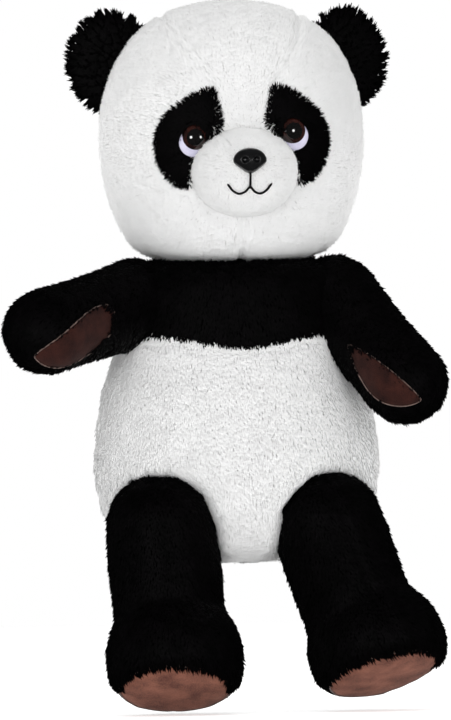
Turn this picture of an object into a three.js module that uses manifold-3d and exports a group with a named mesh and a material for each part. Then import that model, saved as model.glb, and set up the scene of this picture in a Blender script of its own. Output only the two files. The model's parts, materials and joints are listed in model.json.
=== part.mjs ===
// A stuffed plush panda, upright with its arms out, built the way a toy maker sews it: cut panels
// of plush, brown velour pads, fibre stuffing, and moulded eyes and nose held by locking washers.
// Millimetres, +Z up. The panda faces -Y, so its own left side is +X.
import * as THREE from "three";
import { mergeVertices } from "three/addons/utils/BufferGeometryUtils.js";
import Module from "manifold-3d";

const wasm = await Module();
wasm.setup();

// Cloth and sewing
const COVER = 2.5; // plush backing with its pressed pile
const GAP = 0.3; // between two touching pieces
const SEAM = 0.4; // between two panels along a seam
const THREAD_R = 0.7;

// Head: a round, slightly square ball
const HEAD = { z: 351.5, halfWidth: 77, halfDepth: 66, halfHeight: 75.5 };
const HEAD_PROFILE = [
  [0, -1],
  [0.3, -0.99],
  [0.58, -0.94],
  [0.78, -0.84],
  [0.885, -0.66],
  [0.965, -0.4],
  [1, -0.08],
  [0.97, 0.28],
  [0.86, 0.56],
  [0.72, 0.75],
  [0.5, 0.9],
  [0.26, 0.975],
  [0, 1],
];
const MUZZLE = { y: -58, z: 325.5, halfWidth: 32, halfDepth: 33, halfHeight: 27 };
const EAR = { x: 70.5, y: 10, z: 396.5, halfWidth: 26, halfThick: 8.5, halfHeight: 27, splay: 12 };
const SEAM_OVER_EARS_Y = 10; // the face panels end and the back panels begin here
// The forehead gusset's edge: [out from the middle, height]
const GUSSET = [
  [11, 340],
  [15, 362],
  [18, 376],
  [35, 402],
  [46, 440],
];
// One eye patch's outline seen from the front: [out from the middle, height]
const PATCH = [
  [18.5, 374.3],
  [28, 371.8],
  [38, 366.5],
  [46, 359.5],
  [50.5, 351],
  [52, 343],
  [51, 335],
  [47, 326.5],
  [40.5, 319.5],
  [34, 318],
  [32.5, 325],
  [29.5, 334],
  [23, 344],
  [16, 350],
  [13.2, 355],
  [14.8, 362],
  [16, 369],
];
// The left eye and patch are sewn this much higher than the middle, and the right ones lower
const ASKEW = { eye: 1.5, patch: 0.8 };

// Face fittings
const EYE = { x: 29.8, z: 345.8, r: 9, dome: 5, proud: 1.4, shankR: 2.2, shank: 12 };
const IRIS = { r: 7, floor: 1.2, shift: { inward: 0.55, up: 0.83, by: 1.2 } };
const PUPIL_R = 4.4;
const WASHER = { r: 7, thick: 1.4, behind: 3.2 };
const NOSE = { z: 332.7, halfWidth: 9.8, halfHeight: 7.3, proud: 6, taper: 0.42, shankR: 2.5, shank: 14 };
// The smile's line: [across, height], and the line's drop from the nose
const SMILE = [
  [-13, 317.5],
  [-10, 314.2],
  [-6.3, 312.6],
  [-2.8, 313.8],
  [0, 316.2],
  [2.8, 313.8],
  [6.3, 312.6],
  [10, 314.2],
  [13, 317.5],
];
const MOUTH_DROP = [316.3, 320, 324];

// Torso: a pear, wide at the hips
const TORSO_DEPTH_SHARE = 0.74;
const TORSO_WIDEST = 84.5;
// [radius, height], from a flat bottom to the neck
const TORSO_PROFILE = [
  [0, 94],
  [26, 94],
  [58, 99],
  [78, 118],
  [TORSO_WIDEST, 145],
  [83, 170],
  [79, 195],
  [71, 220],
  [60, 246],
  [44, 262],
  [22, 270],
  [0, 271],
];
const YOKE_Z = 226; // black above, white below
const NECK = { y: 3, z: 274, r: 21, clear: 1.5 };
const TAIL = { y: 62, z: 122, r: 15 };
const STITCH = { low: 152, high: 214, pitch: 6, reach: 2.2, off: 1.6 };
const LABEL = { width: 18, length: 26, thick: 0.8, x: -30, y: 55, z: 128 };

// Limbs
const SHOULDER = { x: 60, y: -8, z: 248, r: 26, clear: 1.5 };
// Lowest and highest are the arm's swing limits, in degrees from the horizontal
const ARM = { reach: 79, pawR: 24.5, lowest: 66, highest: 40 };
const PAD = { halfLength: 28, halfWidth: 17, back: 4 };
const HIP = { x: 50, y: -32, z: 114, r: 31.5, clear: 2, crotchHalf: 14, backSwing: 13 };
const LEG = { kneeZ: -50, kneeR: 31.5, endZ: -84, endR: 24 };
const FOOT = { y: -10, z: -80, halfWidth: 39.5, halfDepth: 45, halfHeight: 42, tilt: 28, cut: 14 };
const SOLE = { halfWidth: 32.5, halfLength: 36, y: FOOT.y - 7.3, z: FOOT.z - 12 };
// Direction of each arm in degrees: below the horizontal, and forward
const ARM_POSE = { left: { down: 55, forward: 40 }, right: { down: 15, forward: 38 } };
// The way that each paw pad looks, before it is made square to its arm
const PAD_FACING = { left: [-0.42, -0.76, -0.5], right: [0.12, -0.66, -0.74] };
// Each leg in degrees: outward lean, forward pitch, and toe-out
const LEG_POSE = { left: { lean: 19, pitch: -3, toeOut: 12 }, right: { lean: -4, pitch: 2, toeOut: 2 } };

const plain = (color, roughness = 0.9) => new THREE.MeshStandardMaterial({ color, roughness, metalness: 0 });
const MATERIALS = {
  whitePlush: plain(0xf2f2f0, 0.95),
  blackPlush: plain(0x08070a, 0.95),
  brownVelour: plain(0x6b4034, 0.85),
  fibre: plain(0xfafafa, 1),
  whitePlastic: plain(0xe8e4f4, 0.12),
  brownPlastic: plain(0x3a1712, 0.1),
  blackPlastic: plain(0x0b0b0c, 0.25),
  washerPlastic: plain(0xd9d9d6, 0.5),
  blackThread: plain(0x0a0a0a, 0.7),
  whiteThread: plain(0xe9e9e6, 0.7),
  labelSatin: plain(0xf4f4f2, 0.4),
};

const rad = THREE.MathUtils.degToRad;
const vec = (x, y, z) => new THREE.Vector3(x, y, z);
const sideOf = (name) => (name === "left" ? 1 : -1);

// A three.js geometry as a manifold-3d solid.
function solid(geometry) {
  const bare = geometry.clone();
  for (const name of ["normal", "uv"]) bare.deleteAttribute(name);
  const merged = mergeVertices(bare, 1e-3);
  return new wasm.Manifold(
    new wasm.Mesh({
      numProp: 3,
      vertProperties: new Float32Array(merged.attributes.position.array),
      triVerts: new Uint32Array(merged.index.array),
    }),
  );
}

// A manifold-3d solid as a named three.js mesh.
function piece(name, body, material) {
  const made = body.getMesh();
  const geometry = new THREE.BufferGeometry();
  geometry.setAttribute("position", new THREE.BufferAttribute(new Float32Array(made.vertProperties), 3));
  geometry.setIndex(new THREE.BufferAttribute(new Uint32Array(made.triVerts), 1));
  geometry.computeVertexNormals();
  const mesh = new THREE.Mesh(geometry, material);
  mesh.name = name;
  return mesh;
}

// The largest separate body of a solid: what is left when a cut frees slivers.
function mainBody(body) {
  return body.decompose().reduce((best, b) => (b.volume() > best.volume() ? b : best));
}

function ellipsoid(rx, ry, rz, centre, around = 16, up = 8) {
  return new THREE.SphereGeometry(1, around, up)
    .rotateX(Math.PI / 2)
    .scale(rx, ry, rz)
    .translate(centre.x, centre.y, centre.z);
}

function box(min, max) {
  const size = max.clone().sub(min);
  const centre = max.clone().add(min).multiplyScalar(0.5);
  return solid(new THREE.BoxGeometry(size.x, size.y, size.z).translate(centre.x, centre.y, centre.z));
}

// A profile of [radius, height] points, turned about Z and squeezed in depth.
function turned(points, depthShare, around, steps) {
  const curve = new THREE.SplineCurve(points.map(([r, z]) => new THREE.Vector2(r, z)));
  const profile = curve.getPoints(steps).map((p) => new THREE.Vector2(Math.max(p.x, 0), p.y));
  profile[0].x = 0;
  profile[profile.length - 1].x = 0;
  return new THREE.LatheGeometry(profile, around).rotateX(Math.PI / 2).scale(1, depthShare, 1);
}

// An outline in the XZ plane, extruded through the toy along Y.
function prismAlongY(outline, yLow, yHigh) {
  const shape = new THREE.Shape(outline.map(([x, z]) => new THREE.Vector2(x, z)));
  return solid(
    new THREE.ExtrudeGeometry(shape, { depth: yHigh - yLow, bevelEnabled: false })
      .rotateX(Math.PI / 2)
      .translate(0, yHigh, 0),
  );
}

// A rod of radius r from one point to another.
function rod(from, to, r, around = 10) {
  const along = to.clone().sub(from);
  const geometry = new THREE.CylinderGeometry(r, r, along.length(), around);
  const turn = new THREE.Quaternion().setFromUnitVectors(vec(0, 1, 0), along.clone().normalize());
  const centre = from.clone().add(to).multiplyScalar(0.5);
  return solid(geometry.applyQuaternion(turn).translate(centre.x, centre.y, centre.z));
}

function thread(points, r = THREAD_R, steps = 16) {
  const section = new THREE.Shape().absarc(0, 0, r, 0, 2 * Math.PI);
  const path = new THREE.CatmullRomCurve3(points);
  return solid(new THREE.ExtrudeGeometry(section, { steps, extrudePath: path, curveSegments: 2 }));
}

const panda = new THREE.Group();
const add = (name, body, material) => panda.add(piece(name, mainBody(body), material));

// ---- The shapes of the stuffed parts, each drawn in by an inset

function headBody(inset) {
  const { z, halfWidth, halfDepth, halfHeight } = HEAD;
  const geometry = turned(HEAD_PROFILE, 1, 20, 11);
  geometry.scale(halfWidth - inset, halfDepth - inset, halfHeight - inset);
  return solid(geometry.translate(0, 0, z));
}

function muzzleBody(inset) {
  const { y, z, halfWidth, halfDepth, halfHeight } = MUZZLE;
  return solid(
    ellipsoid(halfWidth - inset, halfDepth - inset, halfHeight - inset, vec(0, y, z), 16, 8),
  );
}

function torsoBody(inset) {
  const low = TORSO_PROFILE[0][1];
  const high = TORSO_PROFILE[TORSO_PROFILE.length - 1][1];
  const middle = (low + high) / 2;
  const across = (TORSO_WIDEST - inset) / TORSO_WIDEST;
  const upright = (high - low - 2 * inset) / (high - low);
  return solid(
    turned(TORSO_PROFILE, TORSO_DEPTH_SHARE, 20, 12)
      .translate(0, 0, -middle)
      .scale(across, across, upright)
      .translate(0, 0, middle),
  );
}

function shoulderPivot(name) {
  return vec(sideOf(name) * SHOULDER.x, SHOULDER.y, SHOULDER.z);
}

function armDirection(name, down = ARM_POSE[name].down) {
  const { forward } = ARM_POSE[name];
  const level = Math.cos(rad(forward));
  const out = sideOf(name) * level * Math.cos(rad(down));
  return vec(out, -Math.sin(rad(forward)), -level * Math.sin(rad(down)));
}

// The upper quarter of a circle about the axis, from its widest point up to the axis.
function quarterRound(centre, r, steps = 4) {
  return Array.from({ length: steps + 1 }, (_, i) => {
    const a = (i / steps) * (Math.PI / 2);
    return new THREE.Vector2(i === steps ? 0 : r * Math.cos(a), centre + r * Math.sin(a));
  });
}

// A ball at the shoulder, a smaller one in the paw, and a cone between them.
function armBody(name, inset, down) {
  const from = shoulderPivot(name);
  const along = armDirection(name, down);
  const shoulder = quarterRound(0, SHOULDER.r - inset).reverse();
  const profile = [
    ...shoulder.map((p) => new THREE.Vector2(p.x, -p.y)),
    ...quarterRound(ARM.reach, ARM.pawR - inset),
  ];
  const turn = new THREE.Quaternion().setFromUnitVectors(vec(0, 1, 0), along);
  return solid(
    new THREE.LatheGeometry(profile, 14).applyQuaternion(turn).translate(from.x, from.y, from.z),
  );
}

function hipPivot(name) {
  return vec(sideOf(name) * HIP.x, HIP.y, HIP.z);
}

function legPlacement(name) {
  const { lean, pitch, toeOut } = LEG_POSE[name];
  const side = sideOf(name);
  const turn = new THREE.Matrix4().makeRotationFromEuler(
    new THREE.Euler(-rad(pitch), side * rad(-lean), side * rad(toeOut), "YXZ"),
  );
  return turn.setPosition(hipPivot(name));
}

const soleNormal = vec(0, -Math.sin(rad(FOOT.tilt)), -Math.cos(rad(FOOT.tilt)));

// A big slab below the tilted sole, in the leg's own frame; inset moves it up into the foot.
function belowSole(inset) {
  const far = 200;
  const onSole = vec(0, FOOT.y, FOOT.z).addScaledVector(soleNormal, FOOT.cut - inset + far / 2);
  const slab = new THREE.BoxGeometry(far, far, far);
  const turn = new THREE.Quaternion().setFromUnitVectors(vec(0, 0, -1), soleNormal);
  return slab.applyQuaternion(turn).translate(onSole.x, onSole.y, onSole.z);
}

// A tube with a ball top and a big foot, all above the sole plane.
function legBody(name, inset) {
  const profile = [
    new THREE.Vector2(0, LEG.endZ),
    new THREE.Vector2(LEG.endR - inset, LEG.endZ),
    new THREE.Vector2(LEG.kneeR - inset, LEG.kneeZ),
    ...quarterRound(0, HIP.r - inset),
  ];
  const tube = solid(new THREE.LatheGeometry(profile, 14).rotateX(Math.PI / 2));
  const { y, z, halfWidth, halfDepth, halfHeight } = FOOT;
  const foot = solid(
    ellipsoid(halfWidth - inset, halfDepth - inset, halfHeight - inset, vec(0, y, z), 16, 8),
  );
  const body = tube.add(foot).subtract(solid(belowSole(inset)));
  return body.transform(legPlacement(name).toArray());
}

// ---- Where the limbs, neck and eyes take room from their neighbours

function swingRoom(name) {
  const { x, y, z, r, clear, crotchHalf, backSwing } = HIP;
  const room = r + clear;
  const far = 120;
  const shape = new THREE.Shape();
  const slant = rad(backSwing);
  shape.moveTo(-far, z + room);
  shape.lineTo(y, z + room);
  shape.absarc(y, z, room, Math.PI / 2, slant, true);
  shape.lineTo(y + room * Math.cos(slant) + far * Math.tan(slant), z + room * Math.sin(slant) - far);
  shape.lineTo(-far, z - far);
  const side = sideOf(name);
  const geometry = new THREE.ExtrudeGeometry(shape, { depth: far, bevelEnabled: false, curveSegments: 8 });
  // The outline's first axis is Y, its second Z, and the extrusion runs along X.
  geometry.applyMatrix4(new THREE.Matrix4().set(0, 0, 1, 0, 1, 0, 0, 0, 0, 1, 0, 0, 0, 0, 0, 1));
  geometry.translate(side > 0 ? crotchHalf : -crotchHalf - far, 0, 0);
  return solid(geometry);
}

// What the arm sweeps between its limits: a cone shell about Y, cut to the swing, and its lowest place.
function armRoom(name) {
  const { r, clear } = SHOULDER;
  const room = r + clear;
  const pivot = shoulderPivot(name);
  const side = sideOf(name);
  const lean = rad(ARM_POSE[name].forward);
  const at = (along, out) =>
    new THREE.Vector2(
      Math.max(along * Math.cos(lean) + out * Math.sin(lean), 0),
      -along * Math.sin(lean) + out * Math.cos(lean),
    );
  const reach = ARM.reach + ARM.pawR + clear;
  const top = new THREE.Vector2(0, room);
  const profile = [at(room * Math.tan(lean), -room), at(reach, -room), at(reach, room), at(0, room), top];
  profile[0].x = 0;
  const swept = solid(new THREE.LatheGeometry(profile, 20).translate(pivot.x, pivot.y, pivot.z));
  const ray = (down) => [pivot.x + side * 200 * Math.cos(rad(down)), pivot.z - 200 * Math.sin(rad(down))];
  const wedge = prismAlongY([[pivot.x, pivot.z], ray(ARM.lowest), ray(0), ray(-ARM.highest)], -200, 200);
  return swept.intersect(wedge).add(armBody(name, -clear, ARM.lowest));
}

function ball(centre, r, around = 14, up = 8) {
  return solid(ellipsoid(r, r, r, centre, around, up));
}

const neckCentre = vec(0, NECK.y, NECK.z);
const neckRoom = ball(neckCentre, NECK.r + NECK.clear);
const sides = ["left", "right"];

function carveTorso(body) {
  let left = body.subtract(neckRoom);
  for (const name of sides) {
    left = left.subtract(swingRoom(name));
    left = left.subtract(armRoom(name));
  }
  return left;
}

// ---- Eyes and nose: moulded domes on ribbed shanks, each locked by a washer inside the head

function eyeFrame(name) {
  const side = sideOf(name);
  const z = EYE.z + side * ASKEW.eye;
  const level = Math.sqrt(1 - ((z - HEAD.z) / HEAD.halfHeight) ** 2);
  const y = -HEAD.halfDepth * Math.sqrt(level ** 2 - (EYE.x / HEAD.halfWidth) ** 2);
  const normal = vec(EYE.x / HEAD.halfWidth ** 2, y / HEAD.halfDepth ** 2, 0).normalize();
  const at = vec(EYE.x, y, z).addScaledVector(normal, EYE.proud);
  return { at: vec(side * at.x, at.y, at.z), normal: vec(side * normal.x, normal.y, normal.z) };
}

function dome(frame, r, height, inset = 0) {
  const turn = new THREE.Quaternion().setFromUnitVectors(vec(0, 0, 1), frame.normal);
  const lens = ellipsoid(r - inset, r - inset, height - inset, vec(0, 0, 0), 16, 8);
  const full = solid(lens.applyQuaternion(turn).translate(frame.at.x, frame.at.y, frame.at.z));
  return full.trimByPlane(frame.normal.toArray(), frame.normal.dot(frame.at) + inset);
}

const shankStart = (frame) => frame.at.clone().addScaledVector(frame.normal, 0.5);
const shankEnd = (frame, length) => frame.at.clone().addScaledVector(frame.normal, -length);

function washerOf(frame, shankR, grow = 0) {
  const back = frame.at.clone().addScaledVector(frame.normal, grow - COVER - WASHER.behind);
  const front = back.clone().addScaledVector(frame.normal, -WASHER.thick - 2 * grow);
  const disc = rod(back, front, WASHER.r + grow, 16);
  return grow ? disc : disc.subtract(rod(frame.at, shankEnd(frame, 30), shankR + GAP, 12));
}

function fittingRoom(frame, r, height, shankR, length) {
  return dome(frame, r + GAP, height + GAP, -GAP)
    .add(rod(shankStart(frame), shankEnd(frame, length + 1), shankR + GAP))
    .add(washerOf(frame, shankR, GAP));
}

const eyeFrames = Object.fromEntries(sides.map((name) => [name, eyeFrame(name)]));
const noseFrame = (() => {
  const rise = (NOSE.z - MUZZLE.z) / MUZZLE.halfHeight;
  const y = MUZZLE.y - MUZZLE.halfDepth * Math.sqrt(1 - rise ** 2);
  return { at: vec(0, y + 0.6, NOSE.z), normal: vec(0, -1, 0) };
})();

function noseBody(grow) {
  const { z, halfWidth, halfHeight, proud, taper } = NOSE;
  const centre = vec(0, noseFrame.at.y, z);
  const lens = ellipsoid(halfWidth + grow, proud + grow, halfHeight + grow, centre, 14, 8);
  const position = lens.attributes.position;
  for (let i = 0; i < position.count; i++) {
    const drop = (z - position.getZ(i)) / halfHeight;
    // Narrower towards the mouth
    if (drop > 0) position.setX(i, position.getX(i) * (1 - taper * drop));
  }
  return solid(lens).trimByPlane([0, -1, 0], -(noseFrame.at.y + grow));
}

const noseRoom = noseBody(GAP)
  .add(rod(shankStart(noseFrame), shankEnd(noseFrame, NOSE.shank + 1), NOSE.shankR + GAP))
  .add(washerOf(noseFrame, NOSE.shankR, GAP));
const eyeRooms = Object.fromEntries(
  sides.map((name) => [name, fittingRoom(eyeFrames[name], EYE.r, EYE.dome, EYE.shankR, EYE.shank)]),
);
const fittings = eyeRooms.left.add(eyeRooms.right).add(noseRoom);

for (const name of sides) {
  const frame = eyeFrames[name];
  // The iris sits a little up and inward, so that the white shows below and outside it.
  const { inward, up, by } = IRIS.shift;
  const shift = vec(-sideOf(name) * inward, 0, up).normalize().multiplyScalar(by);
  const bottom = frame.at.clone().add(shift).addScaledVector(frame.normal, IRIS.floor);
  const top = bottom.clone().addScaledVector(frame.normal, 20);
  const core = (r) => rod(bottom, top, r, 16);
  const lens = dome(frame, EYE.r, EYE.dome);
  const shank = rod(shankStart(frame), shankEnd(frame, EYE.shank), EYE.shankR);
  const seated = (body) => body.trimByPlane(frame.normal.toArray(), frame.normal.dot(bottom) + GAP);
  const iris = lens.intersect(core(IRIS.r - GAP)).subtract(core(PUPIL_R));
  const pupil = lens.intersect(core(PUPIL_R - GAP));
  add(`eye_white_${name}`, lens.subtract(core(IRIS.r)).add(shank), MATERIALS.whitePlastic);
  add(`eye_iris_${name}`, seated(iris), MATERIALS.brownPlastic);
  add(`eye_pupil_${name}`, seated(pupil), MATERIALS.blackPlastic);
  add(`eye_washer_${name}`, washerOf(frame, EYE.shankR), MATERIALS.washerPlastic);
}
const noseShank = rod(shankStart(noseFrame), shankEnd(noseFrame, NOSE.shank), NOSE.shankR);
add("nose", noseBody(0).add(noseShank), MATERIALS.blackPlastic);
add("nose_washer", washerOf(noseFrame, NOSE.shankR), MATERIALS.washerPlastic);

// ---- Head covers: five panels, a muzzle and two eye patches

// The patch's outline, smoothed and moved out by grow.
function patchOutline(name, grow) {
  const loop = new THREE.CatmullRomCurve3(
    PATCH.map(([x, z]) => vec(sideOf(name) * x, 0, z + sideOf(name) * ASKEW.patch)),
    true,
  );
  const count = 20;
  return Array.from({ length: count }, (_, i) => {
    const p = loop.getPoint(i / count);
    const t = loop.getTangent(i / count);
    const out = vec(-t.z, 0, t.x).multiplyScalar(sideOf(name) * grow);
    return [p.x + out.x, p.z + out.z];
  });
}

const front = (y) => box(vec(-150, -150, 200), vec(150, y, 500));
const behind = (y) => box(vec(-150, y, 200), vec(150, 150, 500));
const half = (name, gap) => {
  if (name === "left") return box(vec(gap, -200, -10), vec(250, 200, 500));
  return box(vec(-250, -200, -10), vec(-gap, 200, 500));
};

const gussetOutline = (grow) => {
  const right = GUSSET.map(([x, z]) => [x + grow, z]);
  return [...right, ...right.map(([x, z]) => [-x, z]).reverse()];
};

const headShell = headBody(0).subtract(headBody(COVER)).subtract(neckRoom).subtract(fittings);
const faceShell = headShell.intersect(front(SEAM_OVER_EARS_Y - SEAM)).subtract(muzzleBody(-GAP));
const backShell = headShell.intersect(behind(SEAM_OVER_EARS_Y));
const patchPrism = (name, grow) => prismAlongY(patchOutline(name, grow), -150, -20);
const patches = patchPrism("left", SEAM).add(patchPrism("right", SEAM));
const gusset = (grow) => prismAlongY(gussetOutline(grow), -150, 60);

add("forehead_gusset", faceShell.intersect(gusset(-SEAM / 2)).subtract(patches), MATERIALS.whitePlush);
for (const name of sides) {
  add(
    `face_panel_${name}`,
    faceShell.subtract(gusset(SEAM / 2)).subtract(patches).intersect(half(name, SEAM / 2)),
    MATERIALS.whitePlush,
  );
  add(`eye_patch_${name}`, faceShell.intersect(patchPrism(name, 0)), MATERIALS.blackPlush);
  add(`head_back_${name}`, backShell.intersect(half(name, SEAM / 2)), MATERIALS.whitePlush);
}
add(
  "muzzle_cover",
  muzzleBody(0).subtract(muzzleBody(COVER)).subtract(headBody(-GAP)).subtract(fittings),
  MATERIALS.whitePlush,
);
add(
  "head_stuffing",
  headBody(COVER + GAP).add(muzzleBody(COVER + GAP)).subtract(neckRoom).subtract(fittings),
  MATERIALS.fibre,
);

// The mouth: one embroidered line from under the nose that parts into a smile.
function onMuzzle(x, z, out) {
  const { y, halfWidth, halfDepth, halfHeight } = MUZZLE;
  const share = 1 - (x / halfWidth) ** 2 - ((z - MUZZLE.z) / halfHeight) ** 2;
  return vec(x, y - halfDepth * Math.sqrt(share) - out, z);
}
const threadOut = THREAD_R + 0.5;
const smileLine = thread(SMILE.map(([x, z]) => onMuzzle(x, z, threadOut)));
const drop = thread(MOUTH_DROP.map((z) => onMuzzle(0, z, threadOut)), THREAD_R, 5);
add("mouth_stitch", smileLine.add(drop).subtract(noseBody(GAP)), MATERIALS.blackThread);

// ---- Ears: a front and a back panel over thin wadding

function earBody(name, inset) {
  const { x, y, z, halfWidth, halfThick, halfHeight, splay } = EAR;
  const side = sideOf(name);
  const middle = vec(0, 0, 0);
  const geometry = ellipsoid(halfWidth - inset, halfThick - inset, halfHeight - inset, middle, 14, 8);
  geometry.rotateZ(side * rad(splay)).translate(side * x, y, z);
  return solid(geometry);
}

for (const name of sides) {
  const side = sideOf(name);
  const normal = vec(-side * Math.sin(rad(EAR.splay)), Math.cos(rad(EAR.splay)), 0);
  const middle = normal.dot(vec(side * EAR.x, EAR.y, 0));
  const shell = earBody(name, 0).subtract(earBody(name, COVER)).subtract(headBody(-GAP));
  const frontHalf = shell.trimByPlane(normal.clone().negate().toArray(), -middle + SEAM / 2);
  add(`ear_front_${name}`, frontHalf, MATERIALS.blackPlush);
  add(`ear_back_${name}`, shell.trimByPlane(normal.toArray(), middle + SEAM / 2), MATERIALS.blackPlush);
  add(`ear_wadding_${name}`, earBody(name, COVER + GAP).subtract(headBody(-GAP)), MATERIALS.fibre);
}

// ---- Torso: a black yoke over a white belly and back, closed by hand at the back seam

const tailCentre = vec(0, TAIL.y, TAIL.z);
const tailRoom = ball(tailCentre, TAIL.r + GAP, 10, 6);
const torsoShell = carveTorso(torsoBody(0).subtract(torsoBody(COVER)));
const above = box(vec(-150, -150, YOKE_Z + SEAM / 2), vec(150, 150, 400));
const below = box(vec(-150, -150, 0), vec(150, 150, YOKE_Z - SEAM / 2));
const torsoFront = box(vec(-150, -150, 0), vec(150, -SEAM / 2, 400));
const torsoBack = box(vec(-150, SEAM / 2, 0), vec(150, 150, 400));
add("chest_yoke_front", torsoShell.intersect(above).intersect(torsoFront), MATERIALS.blackPlush);
add("chest_yoke_back", torsoShell.intersect(above).intersect(torsoBack), MATERIALS.blackPlush);
add("belly_panel", torsoShell.intersect(below).intersect(torsoFront), MATERIALS.whitePlush);
for (const name of sides) {
  const panel = torsoShell.intersect(below).intersect(torsoBack).subtract(tailRoom);
  add(`back_panel_${name}`, panel.intersect(half(name, SEAM / 2)), MATERIALS.whitePlush);
}
add("body_stuffing", carveTorso(torsoBody(COVER + GAP)).subtract(tailRoom), MATERIALS.fibre);
add("neck_stuffing", ball(neckCentre, NECK.r), MATERIALS.fibre);

const tailShell = ball(tailCentre, TAIL.r, 10, 6).subtract(ball(tailCentre, TAIL.r - COVER, 10, 6));
add("tail_cover", tailShell.subtract(torsoBody(-GAP)), MATERIALS.whitePlush);
add("tail_wadding", ball(tailCentre, TAIL.r - COVER - GAP, 10, 6).subtract(torsoBody(-GAP)), MATERIALS.fibre);

// How far back the torso reaches at a height between its widest place and the yoke.
function torsoBackY(z) {
  const upper = TORSO_PROFILE.findIndex(([, height]) => height >= z);
  const [r0, z0] = TORSO_PROFILE[upper - 1];
  const [r1, z1] = TORSO_PROFILE[upper];
  return TORSO_DEPTH_SHARE * (r0 + ((r1 - r0) * (z - z0)) / (z1 - z0));
}

// The back seam's ladder stitches, one zigzag thread just off the cloth.
const stitchCount = Math.floor((2 * (STITCH.high - STITCH.low)) / STITCH.pitch) + 1;
const stitchPoints = Array.from({ length: stitchCount }, (_, i) => {
  const z = STITCH.low + (i * STITCH.pitch) / 2;
  return vec((i % 2 ? 1 : -1) * STITCH.reach, torsoBackY(z) + THREAD_R + STITCH.off, z);
});
add("closing_stitches", thread(stitchPoints, THREAD_R, stitchCount - 1), MATERIALS.whiteThread);

// A folded satin care label, sewn into the back beside the tail.
const labelReach = vec(LABEL.thick / 2, 0, LABEL.width / 2);
const labelStart = vec(LABEL.x, LABEL.y, LABEL.z);
const labelEnd = vec(LABEL.x, LABEL.y + LABEL.length, LABEL.z);
const label = box(labelStart.sub(labelReach), labelEnd.add(labelReach));
add("care_label", label.subtract(torsoBody(-GAP)), MATERIALS.labelSatin);

// ---- Arms: an outer and an inner panel, a velour paw pad and the stuffing

// The elliptical cutter of a paw pad, square to the arm and aimed out of the paw.
function padCutter(name, grow) {
  const along = armDirection(name);
  const aim = vec(...PAD_FACING[name]);
  const facing = aim.addScaledVector(along, -aim.dot(along)).normalize();
  const across = new THREE.Vector3().crossVectors(facing, along);
  const centre = shoulderPivot(name).addScaledVector(along, ARM.reach - PAD.back);
  const outline = new THREE.Shape();
  outline.absellipse(0, 0, PAD.halfLength + grow, PAD.halfWidth + grow, 0, 2 * Math.PI);
  const cutter = new THREE.ExtrudeGeometry(outline, { depth: 60, bevelEnabled: false, curveSegments: 8 });
  const place = new THREE.Matrix4().makeBasis(along, across, facing).setPosition(centre);
  return solid(cutter.applyMatrix4(place));
}

for (const name of sides) {
  const shell = armBody(name, 0).subtract(armBody(name, COVER));
  const along = armDirection(name);
  const level = vec(0, 0, -1).cross(along);
  const seamNormal = along.clone().cross(level).normalize();
  const at = seamNormal.dot(shoulderPivot(name));
  const outer = shell.trimByPlane(seamNormal.clone().negate().toArray(), -at + SEAM / 2);
  const inner = shell.trimByPlane(seamNormal.toArray(), at + SEAM / 2);
  // The shoulder end is left open where the arm is sewn on.
  const inside = shoulderPivot(name).addScaledVector(along, -60);
  const sewn = rod(shoulderPivot(name), inside, SHOULDER.r * 0.6, 12);
  add(`arm_outer_panel_${name}`, outer.subtract(padCutter(name, SEAM)).subtract(sewn), MATERIALS.blackPlush);
  add(`arm_inner_panel_${name}`, inner.subtract(padCutter(name, SEAM)).subtract(sewn), MATERIALS.blackPlush);
  add(`paw_pad_${name}`, shell.intersect(padCutter(name, 0)), MATERIALS.brownVelour);
  add(`arm_stuffing_${name}`, armBody(name, COVER + GAP), MATERIALS.fibre);
}

// ---- Legs: an outer and an inner panel, a velour sole and the stuffing

// The elliptical cutter of a sole pad, square to the sole.
function soleCutter(name, grow) {
  const outline = new THREE.Shape();
  outline.absellipse(0, 0, SOLE.halfWidth + grow, SOLE.halfLength + grow, 0, 2 * Math.PI);
  const cutter = new THREE.ExtrudeGeometry(outline, { depth: 20, bevelEnabled: false, curveSegments: 8 });
  const turn = new THREE.Quaternion().setFromUnitVectors(vec(0, 0, 1), soleNormal);
  const start = vec(0, SOLE.y, SOLE.z).addScaledVector(soleNormal, -12);
  cutter.applyQuaternion(turn).translate(start.x, start.y, start.z);
  return solid(cutter).transform(legPlacement(name).toArray());
}

for (const name of sides) {
  const shell = legBody(name, 0).subtract(legBody(name, COVER));
  const sideways = vec(1, 0, 0).transformDirection(legPlacement(name));
  const at = sideways.dot(hipPivot(name));
  // The top of the leg is left open where it is sewn on.
  const sewn = rod(hipPivot(name), hipPivot(name).add(vec(0, 40, 40)), HIP.r * 0.6, 12);
  const panels = shell.subtract(soleCutter(name, SEAM)).subtract(sewn);
  const plusX = panels.trimByPlane(sideways.toArray(), at + SEAM / 2);
  const minusX = panels.trimByPlane(sideways.clone().negate().toArray(), -at + SEAM / 2);
  const isLeft = name === "left";
  add(`leg_outer_panel_${name}`, isLeft ? plusX : minusX, MATERIALS.blackPlush);
  add(`leg_inner_panel_${name}`, isLeft ? minusX : plusX, MATERIALS.blackPlush);
  add(`sole_pad_${name}`, shell.intersect(soleCutter(name, 0)), MATERIALS.brownVelour);
  add(`leg_stuffing_${name}`, legBody(name, COVER + GAP), MATERIALS.fibre);
}

// The origin is under the middle of the whole toy, on the surface that it stands on.
const bounds = new THREE.Box3().setFromObject(panda);
const middle = bounds.getCenter(vec(0, 0, 0));
panda.position.set(-middle.x, -middle.y, -bounds.min.z);

export default panda;
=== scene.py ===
"""A stuffed plush panda: sewn covers, pile, pads, eyes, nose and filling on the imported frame."""

import json
import logging
import math
from collections.abc import Callable, Iterable, Sequence
from dataclasses import dataclass, field
from enum import Enum
from functools import partial
from typing import Any

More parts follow.
